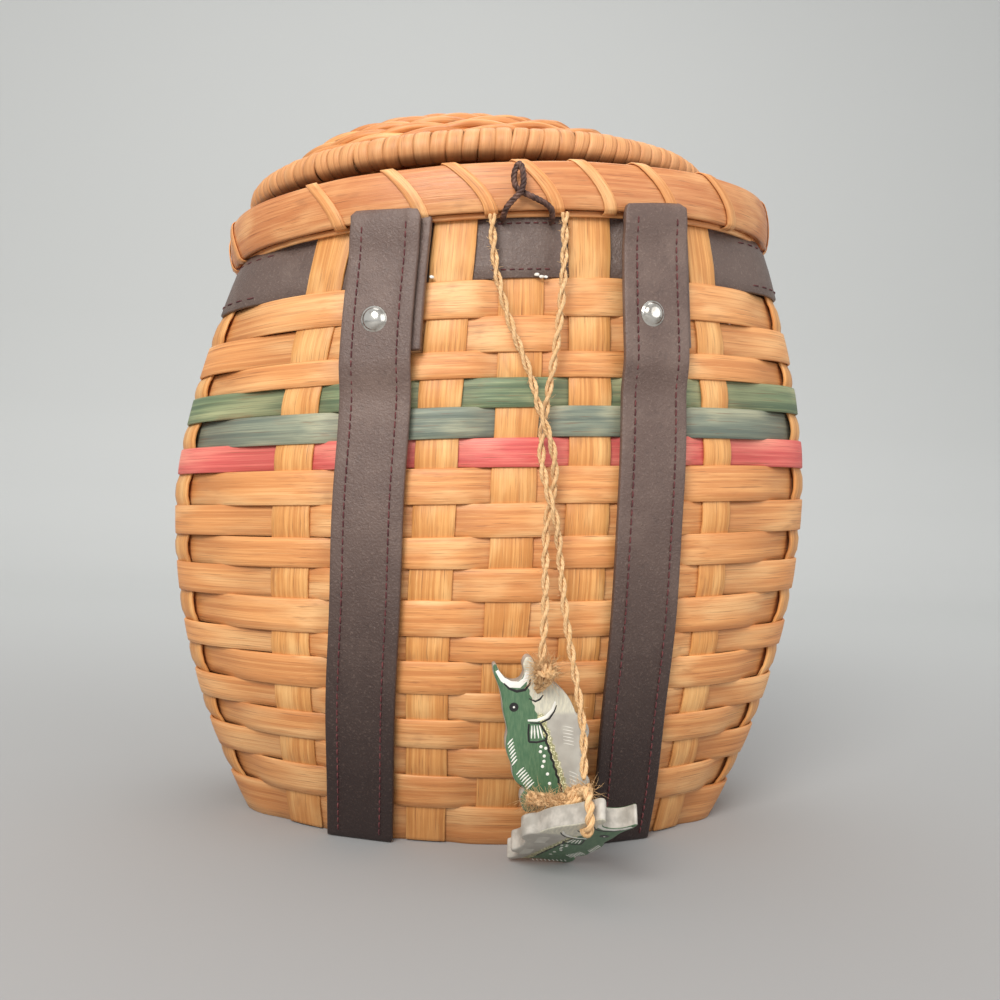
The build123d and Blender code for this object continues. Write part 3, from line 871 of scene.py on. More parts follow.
# ---------------------------------------------------------------- fish
FISH = 7.0
FISH_HOLE_AT = (13.9, 0.7)
FISH_OUTLINE = [(4.0, -13.6), (5.6, -12.4), (8.2, -10.8), (9.9, -8.3), (9.6, -5.2), (7.2, -3.7),
                (3.8, -4.0), (1.6, -2.2), (4.2, 0.4), (6.9, 2.8), (9.3, 4.8), (12.4, 8.7), (15.1, 11.2),
                (18.6, 13.1), (21.5, 14.4), (23.4, 16.9), (27.1, 18.6), (29.7, 17.9), (31.7, 16.4),
                (35.9, 16.2), (41.0, 17.2), (44.8, 18.8), (48.0, 15.8), (51.0, 16.2), (54.9, 18.2),
                (53.0, 12.5), (51.8, 6.8), (53.4, 1.2), (54.1, -3.0), (51.6, -4.6), (48.3, -4.7),
                (46.3, -3.6), (44.7, -5.6), (42.1, -7.4), (38.4, -7.9), (35.3, -9.1), (32.3, -9.8),
                (29.3, -9.8), (26.9, -9.4), (23.9, -9.9), (19.8, -10.8), (16.1, -11.2), (12.7, -11.9),
                (9.7, -13.0), (6.6, -14.0)]
KNOT_RADIUS = 4.6
KNOT_GAP = 0.3


def fish_plane(knot, down, towards, painted_below):
    """Maps fish coordinates (u from the mouth, v to the belly, w out of the paint) to the part."""
    normal = Vector(towards).normalized()
    along = Vector(down)
    along = (along - normal * along.dot(normal)).normalized()
    across = normal.cross(along)
    origin = knot - normal * (KNOT_RADIUS + KNOT_GAP)
    if painted_below:
        origin -= normal * FISH
        normal = -normal

    def to_part(u, v, w):
        return origin + along * (u - FISH_HOLE_AT[0]) + across * (v - FISH_HOLE_AT[1]) + normal * w
    return to_part


def fish_paint():
    """Green back over a grey belly, with cream speckles along the line between them."""
    f = Finish("fish_paint", Roughness=0.42)
    uv = f.strip_uv()
    u = f.node("ShaderNodeSeparateXYZ", inputs={0: uv})
    v = f.node("ShaderNodeSeparateXYZ", inputs={0: uv}, out=1)
    wave = (u * 2.3).math("SINE", 0.0)
    line = v - u * 0.33 + wave * 0.22 + 6.3
    brush = f.noise(f.shifted(uv, (0.3, 1.4, 1.0)), 1.0, 3.0, 0.6)
    patch = f.noise(f.shifted(uv, (0.16, 0.16, 1.0)), 1.0, 2.0, 0.5)
    greens = f.mix(brush.ramp(0.3, 0.75), srgb(70, 104, 74), srgb(92, 120, 88))
    greys = f.mix(patch.ramp(0.35, 0.7), srgb(166, 160, 150), srgb(182, 177, 166))
    speckle = f.node("ShaderNodeTexVoronoi", inputs={"Vector": uv, "Scale": 1.9})
    cream = f.mix(1 - speckle.ramp(0.30, 0.5), srgb(150, 146, 104), srgb(232, 226, 186))
    band = f.mix((line + brush * 1.2).ramp(2.4, 3.4), cream, greys)
    head = f.mix(brush.ramp(0.3, 0.7), srgb(190, 186, 170), srgb(216, 210, 188))
    band = f.mix((u + brush).ramp(20.5, 22.5), head, band)
    colour = f.mix(line.ramp(-0.1, 0.1), greens, band)
    f.drive("Base Color", colour)
    f.bump(brush, 0.2, 0.15)
    return f.material


def plain_paint(name, colour, second, rough=0.55):
    f = Finish(name, Roughness=rough)
    f.drive("Base Color", f.mix(f.noise(f.place(), 260.0).ramp(0.35, 0.7), colour, second))
    return f.material


def fish_body(name, to_part):
    """The sawn board: a filled outline, with its edges eased."""
    ease = 0.7
    data = bpy.data.curves.new(name + "_outline", "CURVE")
    data.dimensions = "2D"
    data.fill_mode = "BOTH"
    data.resolution_u = 5
    spline = data.splines.new("BEZIER")
    spline.bezier_points.add(len(FISH_OUTLINE) - 1)
    spline.use_cyclic_u = True
    for point, (u, v) in zip(spline.bezier_points, FISH_OUTLINE):
        point.co = (u, v, 0)
        point.handle_left_type = point.handle_right_type = "AUTO"
    data.extrude = FISH / 2 - ease
    data.bevel_depth = ease
    data.bevel_resolution = 2
    data.offset = -ease
    holder = bpy.data.objects.new(name + "_outline", data)
    solid = bpy.data.meshes.new_from_object(holder)
    part = bmesh.new()
    part.from_mesh(solid)
    for block, store in ((holder, bpy.data.objects), (solid, bpy.data.meshes), (data, bpy.data.curves)):
        store.remove(block)
    bmesh.ops.remove_doubles(part, verts=part.verts, dist=0.01)
    uv = part.loops.layers.uv.new("strip")
    for face in part.faces:
        face.material_index = 0 if abs(face.normal.z) > 0.35 else 1
        for loop in face.loops:
            loop[uv].uv = loop.vert.co.xy
    for vert in part.verts:
        vert.co = to_part(vert.co.x, vert.co.y, vert.co.z - FISH / 2)
    bmesh.ops.recalc_face_normals(part, faces=part.faces[:])
    piece = keep(part, name, paint, slot="painted_wood")
    piece.data.materials.append(edge_paint)
    ease_edges(piece, 0.02, 40, 1)
    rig.replaces(piece, name)
    return piece


def stroke(mesh, to_part, points, width, lift=0.12, taper=True):
    """A brush stroke: a thin raised ribbon through points of the fish's face."""
    count = len(points)
    sides = []
    for i, (u, v) in enumerate(points):
        p, q = points[max(i - 1, 0)], points[min(i + 1, count - 1)]
        size = math.hypot(q[0] - p[0], q[1] - p[1]) or 1.0
        t = i / (count - 1)
        half = width / 2 * (0.35 + 0.65 * math.sin(math.pi * min(max(t, 0.06), 0.94)) if taper else 1)
        nu, nv = -(q[1] - p[1]) / size * half, (q[0] - p[0]) / size * half
        sides.append(((u - nu, v - nv), (u, v), (u + nu, v + nv)))
    top = [[mesh.verts.new(to_part(*s, lift if k == 1 else 0.01)) for k, s in enumerate(trio)]
           for trio in sides]
    for near, far in zip(top, top[1:]):
        for k in range(2):
            mesh.faces.new((near[k], near[k + 1], far[k + 1], far[k]))


def dot(mesh, to_part, u, v, radius, lift=0.15, segments=12):
    centre = mesh.verts.new(to_part(u, v, lift))
    ring = [mesh.verts.new(to_part(u + radius * math.cos(t), v + radius * math.sin(t), 0.01))
            for t in [2 * math.pi * i / segments for i in range(segments)]]
    for i in range(segments):
        mesh.faces.new((centre, ring[i], ring[(i + 1) % segments]))


def arc(u, v, radius, start, stop, squash=1.0, count=9):
    return [(u + radius * math.cos(t), v + squash * radius * math.sin(t))
            for t in [math.radians(start + (stop - start) * i / (count - 1)) for i in range(count)]]


def comb(mesh, to_part, first, last, reach, count, width):
    """A fin's rays: count strokes from first to last, each going off by reach."""
    for i in range(count):
        t = i / (count - 1)
        u = first[0] + (last[0] - first[0]) * t
        v = first[1] + (last[1] - first[1]) * t
        stroke(mesh, to_part, [(u, v), (u + reach[0] * 0.5, v + reach[1] * 0.54),
                               (u + reach[0], v + reach[1])], width)


def fish_marks(name, to_part):
    """Eye, mouth, gill and fin strokes, in white and black."""
    black, white, pale = bmesh.new(), bmesh.new(), bmesh.new()
    stroke(black, to_part, [(10.5, -10.5), (12.3, -8.7), (13.3, -6.1), (12.8, -3.4), (10.9, -1.8),
                            (9.2, -1.5)], 1.05)
    stroke(white, to_part, [(6.2, -12.9), (9.2, -10.9), (10.9, -8.3), (11.1, -5.3), (9.4, -3.3),
                            (6.4, -2.4)], 2.3)
    stroke(black, to_part, [(15.8, -2.0), (16.8, 0.2), (16.1, 1.7), (14.7, 2.8)], 0.75)
    dot(black, to_part, 18.6, -7.1, 1.6)
    dot(white, to_part, 18.6, -7.1, 0.6, 0.3)
    stroke(white, to_part, [(23.2, -2.4), (23.2, 0.7), (22.1, 3.8), (19.8, 6.0), (16.9, 6.9)], 1.2)
    stroke(black, to_part, [(24.0, -1.6), (24.2, 1.8), (22.7, 4.9), (20.3, 6.6), (18.2, 7.4)], 0.7)
    for edge in ([(24.4, -2.0), (27.4, -2.2), (30.4, -2.0)], [(30.4, -2.0), (30.6, 0.7), (29.9, 3.8)],
                 [(30.2, 3.7), (28.2, 4.2), (26.2, 2.9), (24.2, 1.8)]):
        stroke(black, to_part, edge, 0.7, taper=False)
    for near, far in ((-1.0, -1.2), (-0.2, 0.0), (0.7, 1.3), (1.5, 2.7)):
        stroke(white, to_part, [(24.9, near), (27.0, (near + far) / 2), (29.3, far)], 0.6)
    wave = [(29.0 + i * 0.6, 3.5 + 0.188 * i - 0.22 * math.sin(2.3 * (29.0 + i * 0.6)))
            for i in range(32)]
    stroke(black, to_part, wave, 0.8, taper=False)
    comb(white, to_part, (29.2, -7.5), (36.2, -6.0), (2.0, -1.7), 7, 0.55)
    comb(white, to_part, (39.0, -3.7), (44.0, -0.3), (2.4, -2.5), 7, 0.55)
    comb(white, to_part, (50.0, -1.0), (52.2, 10.0), (2.0, -1.2), 9, 0.5)
    for u, v in ((32.1, 2.1), (32.7, 3.7), (33.8, 1.9), (35.3, 3.2), (37.1, 3.1), (38.8, 2.6),
                 (41.4, 4.3), (44.6, 5.0)):
        dot(white, to_part, u, v, 0.55)
    comb(pale, to_part, (25.3, 9.4), (31.1, 9.7), (0.8, 3.6), 6, 0.4)
    comb(pale, to_part, (40.6, 11.6), (45.7, 11.9), (1.6, 3.4), 5, 0.4)
    pieces = []
    for mesh, colour, suffix in ((black, ink, "lines"), (white, chalk, "dots"), (pale, thin_white, "rays")):
        bmesh.ops.recalc_face_normals(mesh, faces=mesh.faces[:])
        pieces.append(keep(mesh, f"{name}_{suffix}", colour, slot="painted_wood"))
    return pieces


ink = plain_paint("black_paint", srgb(24, 24, 24), srgb(40, 38, 36), 0.4)
chalk = plain_paint("white_paint", srgb(226, 224, 214), srgb(240, 238, 230))
paint = fish_paint()
thin_white = plain_paint("thin_white_paint", srgb(198, 194, 182), srgb(210, 206, 196))
edge_paint = plain_paint("edge_paint", srgb(158, 152, 142), srgb(190, 183, 172), 0.6)
fish_pieces = {}
for number, knot, down, towards, back_side, make_knot in (
        (1, KNOT_1, (0.04, 0, -1), (0, -1, 0), False, knot_1_piece),
        (2, KNOT_2, (-0.08, 0.828, -0.555), (0.049, 0.559, 0.828), True, knot_2_piece)):
    to_part = fish_plane(knot, down, towards, back_side)
    name = f"fish_charm_{number}"
    fish_pieces[number] = [fish_body(name, to_part), *fish_marks(name, to_part), make_knot()]
twist_twine("twine_short", TWINE_SHORT, "fitting", fish_pieces[1], 3)
twist_twine("twine_long", TWINE_LONG, "fitting", fish_pieces[2], 5)
cord_loop()


# ---------------------------------------------------------------- the weave
def over(row, k):
    """1 where a row passes over stake k and -1 where it passes under, flat-topped between."""
    phase = 0 if row % 2 else 1
    wave = -math.cos(math.pi * (k + phase))
    return math.tanh(1.9 * wave) / math.tanh(1.9)


def swing_at(k):
    """The weave works deeper at the two side stakes."""
    near = abs(abs((k + STAKES / 2) % STAKES - STAKES / 2) - FRONT_STAKES - 1)
    return 1 + (CORNER_SWING - 1) * math.exp(-(near / 0.5) ** 2)


def weave_row(row, z_low, z_high, finish, slot, name, thick=SPLINT, swing=WEAVER_SWING, lap=-0.1):
    mid, half = (z_low + z_high) / 2, (z_high - z_low) / 2 - lap
    rng = random.Random(row * 31)
    drift = rng.uniform(0, 50)
    seam = 1 - row % 2

    def place(u, v):
        k = u * STAKES - STAKES / 2 + seam
        wave = over(row, k)
        sag = 0.4 * noise.noise(Vector((k * 0.45, row * 3.1, drift)))
        width = half * (1 + 0.05 * noise.noise(Vector((k * 0.3, row * 5.7, 2.0))))
        ripple = 0.12 * noise.noise(Vector((k * 0.8, row * 2.7, v)))
        z = mid + sag + v * width
        return wall_place(max(z, 0.1), k, MID_WALL + swing * swing_at(k) * wave + ripple + 0.08 * (1 - v * v))
    mesh = new_mesh()
    length = 2 * oval_at(mid).half
    # The last argument gives painted shade where the row passes under a stake.
    bent_sheet(mesh, STAKES * STEPS_PER_STAKE, 4, place, (length, 2 * half), thick, True,
               rng.random(), lambda u: 0.5 - 0.5 * over(row, u * STAKES - STAKES / 2 + seam))
    piece = keep(mesh, name, finish, slot=slot)
    ease_edges(piece, 0.28, 60, 1)
    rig.replaces(piece, name)
    return piece


row_tops = [HEIGHT_OF_ROWS - sum(ROW_WIDTHS[:i]) for i in range(len(ROW_WIDTHS) + 1)]
dyed = {4: (green, "green_splint"), 5: (grey_green, "grey_green_splint"), 6: (red, "red_splint")}
for row in range(1, len(ROW_WIDTHS) + 1):
    finish, slot = dyed.get(row, (natural, "splint"))
    weave_row(row, row_tops[row], row_tops[row - 1], finish, slot, f"weaver_row_{row:02d}")

weave_row(0, HEIGHT_OF_ROWS, RIM_BOTTOM + 1.0, band_leather, "leather", "leather_band", 1.5, 1.05, 0.2)


def row_at(z):
    for row in range(len(ROW_WIDTHS)):
        if z > row_tops[row + 1]:
            return row + 1
    return len(ROW_WIDTHS)


def stake_swing(z, k):
    """How far stake k stands out at height z: out over a row that passes under it."""
    if z >= HEIGHT_OF_ROWS:
        edges = [(HEIGHT_OF_ROWS, RIM_BOTTOM + 3, 0)]
    else:
        row = row_at(z)
        edges = [(row_tops[row], row_tops[row - 1], row)]
    low, high, row = edges[0]
    lift = -over(row, k)
    other = row - 1 if z > (low + high) / 2 else row + 1
    near = abs(z - (high if z > (low + high) / 2 else low)) / ((high - low) / 2)
    flat = min(near * 1.5, 1.0)
    ease = flat * flat * (3 - 2 * flat)
    return lift * ease if 0 <= other <= len(ROW_WIDTHS) else lift


def add_stakes():
    mesh = new_mesh()
    rng = random.Random(11)
    for k in range(-STAKES // 2, STAKES // 2):
        width = STAKE_WIDTH * rng.uniform(0.92, 1.12)
        lean = rng.uniform(-0.8, 0.8)
        seed = rng.uniform(0, 90)

        def place(u, v):
            z = 0.4 + u * (RIM_BOTTOM + 12.0)
            shift = lean + 0.8 * noise.noise(Vector((z * 0.02, k * 2.3, seed)))
            half = width / 2 * (1 + 0.06 * noise.noise(Vector((z * 0.05, k * 1.3, 4.0))))
            out = MID_WALL + STAKE_SWING * swing_at(k) * stake_swing(z, k) + 0.1 * (1 - v * v)
            return wall_place(z, k, out, shift + v * half)
        # The last argument gives painted shade where the stake passes under a row.
        bent_sheet(mesh, 150, 4, lambda u, v: place(u, -v), (RIM_BOTTOM, width), SPLINT, False, rng.random(),
                   lambda u: 0.5 - 0.5 * stake_swing(0.4 + u * (RIM_BOTTOM + 12.0), k))
    piece = keep(mesh, "stakes", stake_reed)
    ease_edges(piece, 0.28, 60, 1)
    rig.replaces(piece, "woven_wall")


add_stakes()


def add_base():
    """The foot: stakes cross under it in a plain weave, cut to the D of the lowest row."""
    mesh = new_mesh()
    outline = Oval(BASE["a"] - 3.4, BASE["b"] - 3.4, BASE["c"] - 3.4)
    edge = [outline.at(s * outline.half / 100)[:2] for s in range(-100, 101)]
    pitch, width = 16.0, 14.6

    def chord(fixed, along):
        inside = [p[along] for p, q in zip(edge, edge[1:] + edge[:1])
                  if (p[1 - along] - fixed) * (q[1 - along] - fixed) <= 0]
        return (min(inside), max(inside)) if len(inside) > 1 else None
    rng = random.Random(5)
    for along, count in ((0, 3), (1, 6)):
        for i in range(-count - 1, count + 1):
            fixed = i * pitch + (0 if along == 1 else -9.0)
            ends = [chord(fixed + d, along) for d in (-width / 2, 0, width / 2)]
            if any(e is None for e in ends):
                continue
            low, high = max(e[0] for e in ends), min(e[1] for e in ends)
            parity = 0 if along == 1 else 1

            def place(u, v):
                t = low + (high - low) * u
                wave = math.cos(math.pi * (t / pitch + i + parity)) * (1 if along else -1)
                z = 1.75 + 0.6 * math.tanh(1.5 * wave)
                side = fixed + v * width / 2
                return Vector((t, side, z)) if along == 0 else Vector((side, t, z))
            bent_sheet(mesh, 60, 2, place, (high - low, width), 0.95, False, rng.random())
    piece = keep(mesh, "base_weave", stake_reed)
    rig.replaces(piece, "base_panel")


add_base()


# ---------------------------------------------------------------- rim lashing
def rim_place(s_k, out, h):
    """A point by the rim: station along it, out from the wall line, h above the hoops' foot."""
    oval = oval_at(RIM_BOTTOM)
    x, y, nx, ny = oval.at(s_k)
    return tipped(x + nx * out, y + ny * out, RIM_BOTTOM + h)


# The lashing slips a little along the rim: shares of a stake's pitch, by turn.
LASH_SHIFTS = {7: 0.21, 8: 0.53, 9: 0.81, 10: 0.77, 11: 0.74, 12: 0.56, 13: 0.57, 14: 0.67,
               15: 1.03, 16: 1.0, 17: 0.9, 18: 0.8, 19: 0.7, 20: 0.6}


def add_lashing():
    mesh = new_mesh()
    rng = random.Random(21)
    slant = 11.4
    top, inside = HOOP_HEIGHT + 0.15, -7.1
    for i in range(STAKES):
        start = station_distance(RIM_BOTTOM, i + 0.5 - STAKES / 2 + LASH_SHIFTS.get(i, 0.35))
        width = 4.9 * rng.uniform(0.92, 1.1)
        skew = slant * rng.uniform(0.92, 1.12)

        def over_hoop(h):
            v = abs(h / (HOOP_HEIGHT / 2) - 1)
            return 3.95 + HOOP_CROWN * (1 - min(v, 1.0) ** 2.4)
        face = [(skew * (0.47 - 1.0 * (h / HOOP_HEIGHT) ** 1.6), over_hoop(h), h)
                for h in (0.6, 2.5, 5, 8, 11, 14, 16)]
        path = [(skew * 0.48, 0.9, -0.45), (skew * 0.48, 3.2, -0.3), *face,
                (-skew * 0.55, 3.55, top - 0.25), (-skew * 0.6, 2.9, top + 0.1), (-skew * 0.68, 0.0, top + 0.1),
                (-skew * 0.74, -5.8, top + 0.1), (-skew * 0.75, inside + 0.3, top - 0.3),
                (-skew * 0.7, inside, 15.0), (-skew * 0.3, inside, 8.0), (0.0, inside, 0.6)]

        def place(u, v):
            f = u * (len(path) - 1)
            j = min(int(f), len(path) - 2)
            along, out, h = [p + (q - p) * (f - j) for p, q in zip(path[j], path[j + 1])]
            return rim_place(start + along + v * width / 2, out, h)
        bent_sheet(mesh, 64, 2, place, (48, width), 0.45, False, rng.random())
    piece = keep(mesh, "rim_lashing", natural, slot="rim_reed")
    ease_edges(piece, 0.18, 60, 1)
    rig.replaces(piece, "rim_lashing")


add_lashing()


# ---------------------------------------------------------------- straps and their stitching
def strap_place(side, z, across, out):
    """A point of a strap: height, mm across from its middle, and mm out from the wall line."""
    a, b = [swell(z, BASE[k], BELLY[k], MOUTH[k]) for k in "ab"]
    x = swell(z, *STRAP_AT)
    depth = math.sqrt(1 - (x / a) ** 2)
    turn = math.atan2(b * x / a ** 2, depth)
    nx, ny = math.sin(turn), -math.cos(turn)
    px, py = x + nx * out - ny * across, -b * depth + ny * out + nx * across
    return tipped(side * px, py, z)


def over_tail(z):
    ramp = (z - (RIM_BOTTOM - STRAP_TAIL - 7 * STRAP)) / (6 * STRAP)
    ramp = min(max(ramp, 0.0), 1.0)
    return (STRAP + 0.35) * ramp * ramp * (3 - 2 * ramp)


def over_rim(z):
    """The top fold of a strap rises over the foot of the outer hoop, and turns in at its end."""
    rise = min(max((z - RIM_BOTTOM + 14.0) / 12.0, 0.0), 1.0)
    fold = max(z - STRAP_TOP + 1.8, 0.0) / 1.8
    return 1.4 * rise * rise * (3 - 2 * rise) - 1.1 * fold * fold


def strap_shift(side, z):
    """How far a strap lies off its line, in mm towards +X."""
    return STRAP_DRIFT[side](z) + 0.35 * math.sin(z / 31.0 + 3.0 * side) + 0.2 * math.sin(z / 11.0)


STRAP_TOP = RIM_BOTTOM + 3.4
STRAP_DRIFT = {-1: lambda z: 0.0, 1: lambda z: 0.0}
TAIL_SHIFT = 2.4
RIVET_BELOW_RIM = 35.0
RIVET_SHIFT = {-1: -1.0, 1: -2.2}


def crease(side, z, v):
    """The left strap has a pinched ridge by its inner edge, stronger towards the rim."""
    if side > 0:
        return 0.0
    return 0.7 * math.exp(-((v + 0.74) / 0.1) ** 2) * min(max((z - 60) / 120, 0.0), 1.0)


def add_rivet(side, name):
    """A domed nickel cap on a thin rolled flange."""
    z = RIM_BOTTOM - RIVET_BELOW_RIM
    out = STRAP_CLEAR + STRAP + over_tail(z) - 0.1
    base = strap_place(side, z, side * RIVET_SHIFT[side], out)
    normal = strap_place(side, z, side * RIVET_SHIFT[side], out + 1) - base
    mesh = new_mesh()
    profile = [(0.01, 2.3), (1.6, 2.2), (2.9, 1.75), (3.7, 1.05), (4.0, 0.55), (4.35, 0.5),
               (4.6, 0.3), (4.6, 0.0), (4.3, -0.3)]
    verts = [mesh.verts.new((r, 0, h)) for r, h in profile]
    edges = [mesh.edges.new(pair) for pair in zip(verts, verts[1:])]
    bmesh.ops.spin(mesh, geom=verts + edges, cent=(0, 0, 0), axis=(0, 0, 1), dvec=(0, 0, 0),
                   angle=2 * math.pi, steps=40, use_merge=True)
    bmesh.ops.remove_doubles(mesh, verts=mesh.verts, dist=0.02)
    bmesh.ops.recalc_face_normals(mesh, faces=mesh.faces[:])
    turn = normal.to_track_quat("Z", "Y").to_matrix().to_4x4()
    bmesh.ops.transform(mesh, matrix=Matrix.Translation(base) @ turn, verts=mesh.verts)
    piece = keep(mesh, f"{name}_strap_rivet", nickel.material, slot="nickel")
    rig.replaces(piece, f"{name}_strap_rivet")


def add_straps():
    for side, name in ((-1, "left"), (1, "right")):
        def place(u, v):
            level = STRAP_TOP - 1.4 * side * v
            z = 0.2 + u * (level - 0.2)
            dish = 0.25 * (1 - abs(v) ** 6) - 0.25 + 0.12 * math.sin(z / 9.0 + v)
            dish += crease(side, z, v)
            narrow = 0.9 * max(0.0, 1 - (level - z) / 1.8) ** 2
            return strap_place(side, z, side * (strap_shift(side, z) - v * (STRAP_WIDTH / 2 - narrow)),
                               STRAP_CLEAR + STRAP + over_tail(z) + over_rim(z) + dish)

        def tail_place(u, v):
            z = RIM_BOTTOM - STRAP_TAIL + u * STRAP_TAIL
            across = strap_shift(side, z) + TAIL_SHIFT - v * STRAP_WIDTH / 2
            return strap_place(side, z, side * across, STRAP_CLEAR + STRAP)
        for where, piece_name, steps in ((place, f"{name}_strap", 90), (tail_place, f"{name}_strap_tail", 20)):
            mesh = new_mesh()
            bent_sheet(mesh, steps, 16, where, (225, 25.4), STRAP, False)
            bmesh.ops.recalc_face_normals(mesh, faces=mesh.faces[:])
            piece = keep(mesh, piece_name, leather, slot="leather")
            ease_edges(piece, 0.55, 50, 2)
            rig.replaces(piece, piece_name)
        mesh = new_mesh()
        for line in (-1, 1):
            for i in range(int((STRAP_TOP - 6) / STITCH_PITCH)):
                z = 3.0 + i * STITCH_PITCH
                across = side * (line * (STRAP_WIDTH / 2 - STITCH_INSET) + strap_shift(side, z))
                out = STRAP_CLEAR + STRAP + over_tail(z) + over_rim(z) + 0.12 * math.sin(z / 9.0) + 0.1
                out += crease(side, z, -line * (1 - 2 * STITCH_INSET / STRAP_WIDTH))
                ends = [strap_place(side, z + d * STITCH_PITCH, across + 0.15 * d, out + lift)
                        for d, lift in ((0, -0.3), (0.15, 0.12), (0.6, 0.14), (0.75, -0.3))]
                strand_tube(mesh, ends, 0.28, 5)
        keep(mesh, f"{name}_strap_stitches", thread.material, slot="leather")
        add_rivet(side, name)


add_straps()


def band_stitches():
    mesh = new_mesh()
    for v in (-0.72, 0.72):
        z = (HEIGHT_OF_ROWS + RIM_BOTTOM) / 2 + v * BAND_WIDTH / 2
        count = int(2 * oval_at(z).half / STITCH_PITCH)
        for i in range(count):
            k = (i + 0.5) / count * STAKES - STAKES / 2
            if over(0, k) < 0.2:
                continue
            reach = STAKES * 0.55 / count
            ends = [wall_place(z, k + d * reach, MID_WALL + 1.05 * swing_at(k) * over(0, k + d * reach) + lift)
                    for d, lift in ((-0.5, -0.2), (-0.3, 0.22), (0.3, 0.22), (0.5, -0.2))]
            strand_tube(mesh, ends, 0.26, 5)
    keep(mesh, "leather_band_stitches", thread.material, slot="leather")


band_stitches()


def add_glue_specks():
    """Beads of dried white glue by the lower edge of the leather band."""
    glue = Finish("dried_glue", Roughness=0.4)
    glue.drive("Base Color", glue.mix(glue.noise(glue.place(), 900.0).ramp(0.4, 0.7),
                                      srgb(236, 234, 226), srgb(214, 208, 196)))
    mesh = new_mesh()
    spots = [(wall_place(RIM_BOTTOM - 20.5, -1.25, 0.6), 0.6), (wall_place(RIM_BOTTOM - 21.0, 0.22, 0.6), 0.65),
             (wall_place(RIM_BOTTOM - 21.8, 0.29, 0.6), 0.6), (wall_place(RIM_BOTTOM - 21.9, 0.35, 0.6), 0.5)]
    for place, size in spots:
        made = bmesh.ops.create_icosphere(mesh, subdivisions=2, radius=size)
        for vert in made["verts"]:
            lump = 1 + 0.3 * noise.noise(vert.co * 1.4 + place)
            vert.co = place + Vector((vert.co.x * 1.5 * lump, vert.co.y * 0.5, vert.co.z * lump))
    keep(mesh, "glue_specks", glue.material, slot=None)


add_glue_specks()


# ---------------------------------------------------------------- lid
def lid_oval(grow):
    return Oval(LID["a"] + grow, LID["b"] + grow, LID["c"] + grow)


def lid_point(x, y, h):
    return tipped(x + LID_OFFSET, y, RIM_BOTTOM + h)


# The last argument of each is how deep the painted shade goes where the reed passes under.
reed = splint_finish("lid_reed", srgb(226, 156, 94), srgb(190, 118, 62), srgb(240, 186, 124), 0.45, 0.5)
wrap_reed = splint_finish("ring_wrap", srgb(224, 162, 106), srgb(198, 134, 82), srgb(234, 182, 128), 0.55, 0.75)


def add_lid_ring():
    """The ring's core shows nowhere: it is wrapped all round with turns of split reed."""
    centre = lid_oval(-LID_RING / 2)
    turns = 90
    pitch = 2 * centre.half / turns
    mesh = new_mesh()
    rng = random.Random(33)
    radius = LID_RING / 2 + 0.1
    for i in range(turns):
        width = pitch * rng.uniform(0.95, 1.01) / 2
        slope = rng.uniform(0.1, 1.3)
        swell_out = rng.uniform(-0.12, 0.12)

        def place(u, v):
            turn = 2 * math.pi * (u + 0.5)
            s = (i + 0.5) * pitch - centre.half + v * width + slope * math.sin(turn)
            x, y, nx, ny = centre.at(s)
            r = radius - 0.42 * v ** 4 + swell_out
            return lid_point(x + nx * r * math.cos(turn), y + ny * r * math.cos(turn),
                             LID_LOW + LID_RING / 2 + 0.7 + r * math.sin(turn))
        # The last argument gives painted shade on the ring's underside, for the dark gap between the ring and the rim.
        bent_sheet(mesh, 24, 6, place, (31, 2 * width), 0.5, True, 0.2 * rng.random(),
                   lambda u: min(max(math.sin(2 * math.pi * u) - 0.45, 0.0) / 0.35, 1.0))
    bmesh.ops.recalc_face_normals(mesh, faces=mesh.faces[:])
    return keep(mesh, "lid_ring_wrap", wrap_reed, "lid", "lid_reed")


def dome_point(t, share, lift):
    """A point of the dome: t from its edge 0 to its middle 1, share of the way round."""
    rise = t * math.pi / 2
    shrink = 1 - (1 - math.cos(rise)) * (1 - DOME_CROWN)
    shrink *= 1 - max(0.0, t - 0.8) / 0.2 * 0.86
    x, y, nx, ny = dome_oval.at(share * 2 * dome_oval.half)
    h = LID_LOW + DOME_SEAT + (DOME_HEIGHT - 3.6) * math.sin(rise) ** 1.1 + lift * math.sin(rise) + 1.2
    h -= DOME_LEAN * x * math.sin(rise)
    return lid_point(x * shrink + nx * lift * math.cos(rise),
                     y * shrink + ny * lift * math.cos(rise), h)


DOME_INSET = LID_RING + 2.2
dome_oval = Oval(LID["a"] - DOME_INSET, LID["b"] - DOME_INSET, LID["c"] - DOME_INSET)


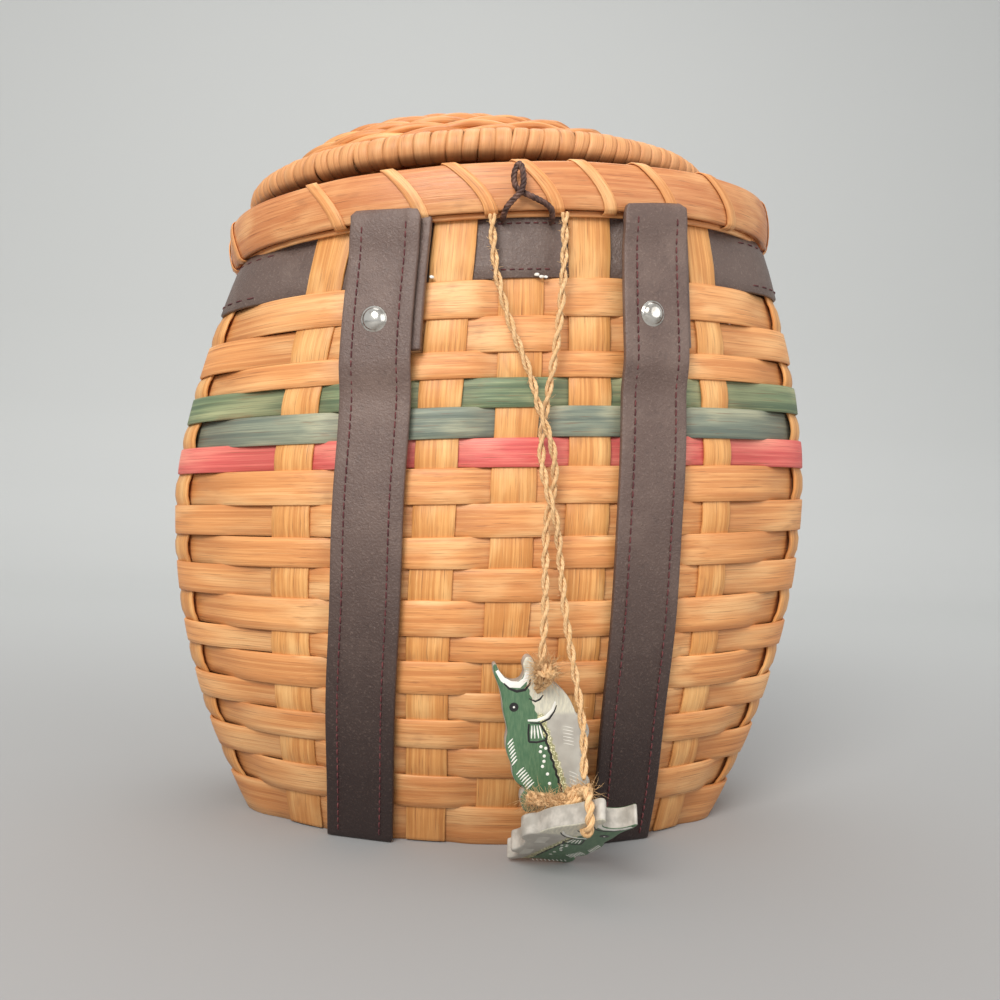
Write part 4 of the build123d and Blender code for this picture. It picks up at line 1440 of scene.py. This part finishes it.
def add_lid_dome():
    """Pairs of round reed twined over spokes, ring after ring, up to a tight middle."""
    spokes = 18
    mesh = new_mesh()
    rng = random.Random(44)
    rings = 11
    for ring in range(rings):
        t = 0.03 + 0.93 * ring / (rings - 1)
        offset = 0.5 * ring + rng.uniform(-0.15, 0.15)
        for strand in range(2):
            count = 220
            line = []
            first = rng.random()
            for i in range(count):
                share = first + i / (count - 1) * 0.998 - 0.5
                turn = math.pi * (spokes * (share + 0.5) + offset + strand)
                swing = 1.6 * math.cos(turn)
                drop = 0.036 * math.sin(turn)
                wander = 0.008 * noise.noise(Vector((share * 20, ring * 2.0, strand * 5.0)))
                line.append(dome_point(min(max(t + drop + wander, 0.0), 1.0), share, 0.2 + swing))
            strand_tube(mesh, line, 1.85 * rng.uniform(0.9, 1.06), 8, rng.random())
    for k in range(spokes):
        line = [dome_point(t / 14, (k + 0.5) / spokes - 0.5, -0.6) for t in range(14)]
        strand_tube(mesh, line, 1.2, 6, rng.random())
    bmesh.ops.recalc_face_normals(mesh, faces=mesh.faces[:])
    piece = keep(mesh, "lid_dome_weave", reed, "lid", "lid_reed")
    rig.replaces(piece, "lid_dome")


ring_piece = add_lid_ring()
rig.replaces(ring_piece, "lid_ring")
add_lid_dome()

# ---------------------------------------------------------------- CAD pieces that stay
def object_reed(name):
    f = Finish(name)
    where = f.place()
    fibres = f.noise(f.shifted(where, (60.0, 60.0, 1500.0)), 1.0, 3.0, 0.6)
    streaks = f.noise(f.shifted(where, (14.0, 14.0, 380.0)), 1.0, 3.0, 0.55)
    patches = f.noise(where, 22.0, 2.0, 0.5)
    colour = f.mix(streaks.ramp(0.38, 0.66), srgb(196, 130, 78), srgb(224, 162, 102))
    colour = f.mix(patches.ramp(0.45, 0.7) * 0.6, colour, srgb(238, 186, 128))
    colour = f.mix((1 - fibres.ramp(0.34, 0.55)) * 0.35, colour, srgb(164, 104, 58))
    f.drive("Base Color", colour)
    f.drive("Roughness", fibres * 0.25 + 0.28)
    f.bump(fibres * 0.6 + streaks * 0.4, 0.5, 0.4)
    return f.material




def add_hoop(node, middle, thick, seed):
    """A flat half-round reed, bent round the rim, with its ends scarfed together."""
    oval = oval_at(RIM_BOTTOM)
    rng = random.Random(seed)

    def place(u, v):
        s = (u - 0.5) * 2 * oval.half
        wave = 0.25 * noise.noise(Vector((math.sin(2 * math.pi * u) * 3, math.cos(2 * math.pi * u) * 3, seed)))
        crown = HOOP_CROWN * (1 - abs(v) ** 2.4) if middle > 0 else -0.5 * (1 - v * v)
        return rim_place(s, middle + crown + wave * 0.6 - 0.3, HOOP_HEIGHT / 2 + v * HOOP_HEIGHT / 2 + wave)
    mesh = new_mesh()
    bent_sheet(mesh, 240, 8, place, (2 * oval.half, HOOP_HEIGHT), thick, True, rng.random())
    bmesh.ops.recalc_face_normals(mesh, faces=mesh.faces[:])
    piece = keep(mesh, node, rim_reed, slot="rim_reed")
    ease_edges(piece, 0.9, 50, 3)
    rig.replaces(piece, node)


add_hoop("rim_outer_hoop", 4.0, 3.1, 4)
add_hoop("rim_inner_hoop", -3.6, 2.7, 9)


def false_rim():
    """The edge of the last plain weaver, which shows in a line under the outer hoop."""
    oval = oval_at(RIM_BOTTOM)
    mesh = new_mesh()

    def place(u, v):
        s = (u - 0.5) * 2 * oval.half
        return rim_place(s, 1.3, -0.35 + v * 1.0)
    bent_sheet(mesh, 200, 2, place, (2 * oval.half, 2.0), 1.3, True, 0.3)
    piece = keep(mesh, "false_rim", natural)
    ease_edges(piece, 0.3, 50, 1)


false_rim()

hoop_reed = object_reed("hoop_reed")
for node, finish in (("hinge_rod", hoop_reed),
                     ("hinge_rod_ties", hoop_reed), ("hinge_loop_left", leather),
                     ("hinge_loop_right", leather)):
    piece = frame["nodes"][node]
    piece.data.materials.clear()
    piece.data.materials.append(finish)

with open("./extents.json", "w") as sizes:
    json.dump({"cad": [list(v) for v in cad_box], "visual": [list(v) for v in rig.bounds()]}, sizes)
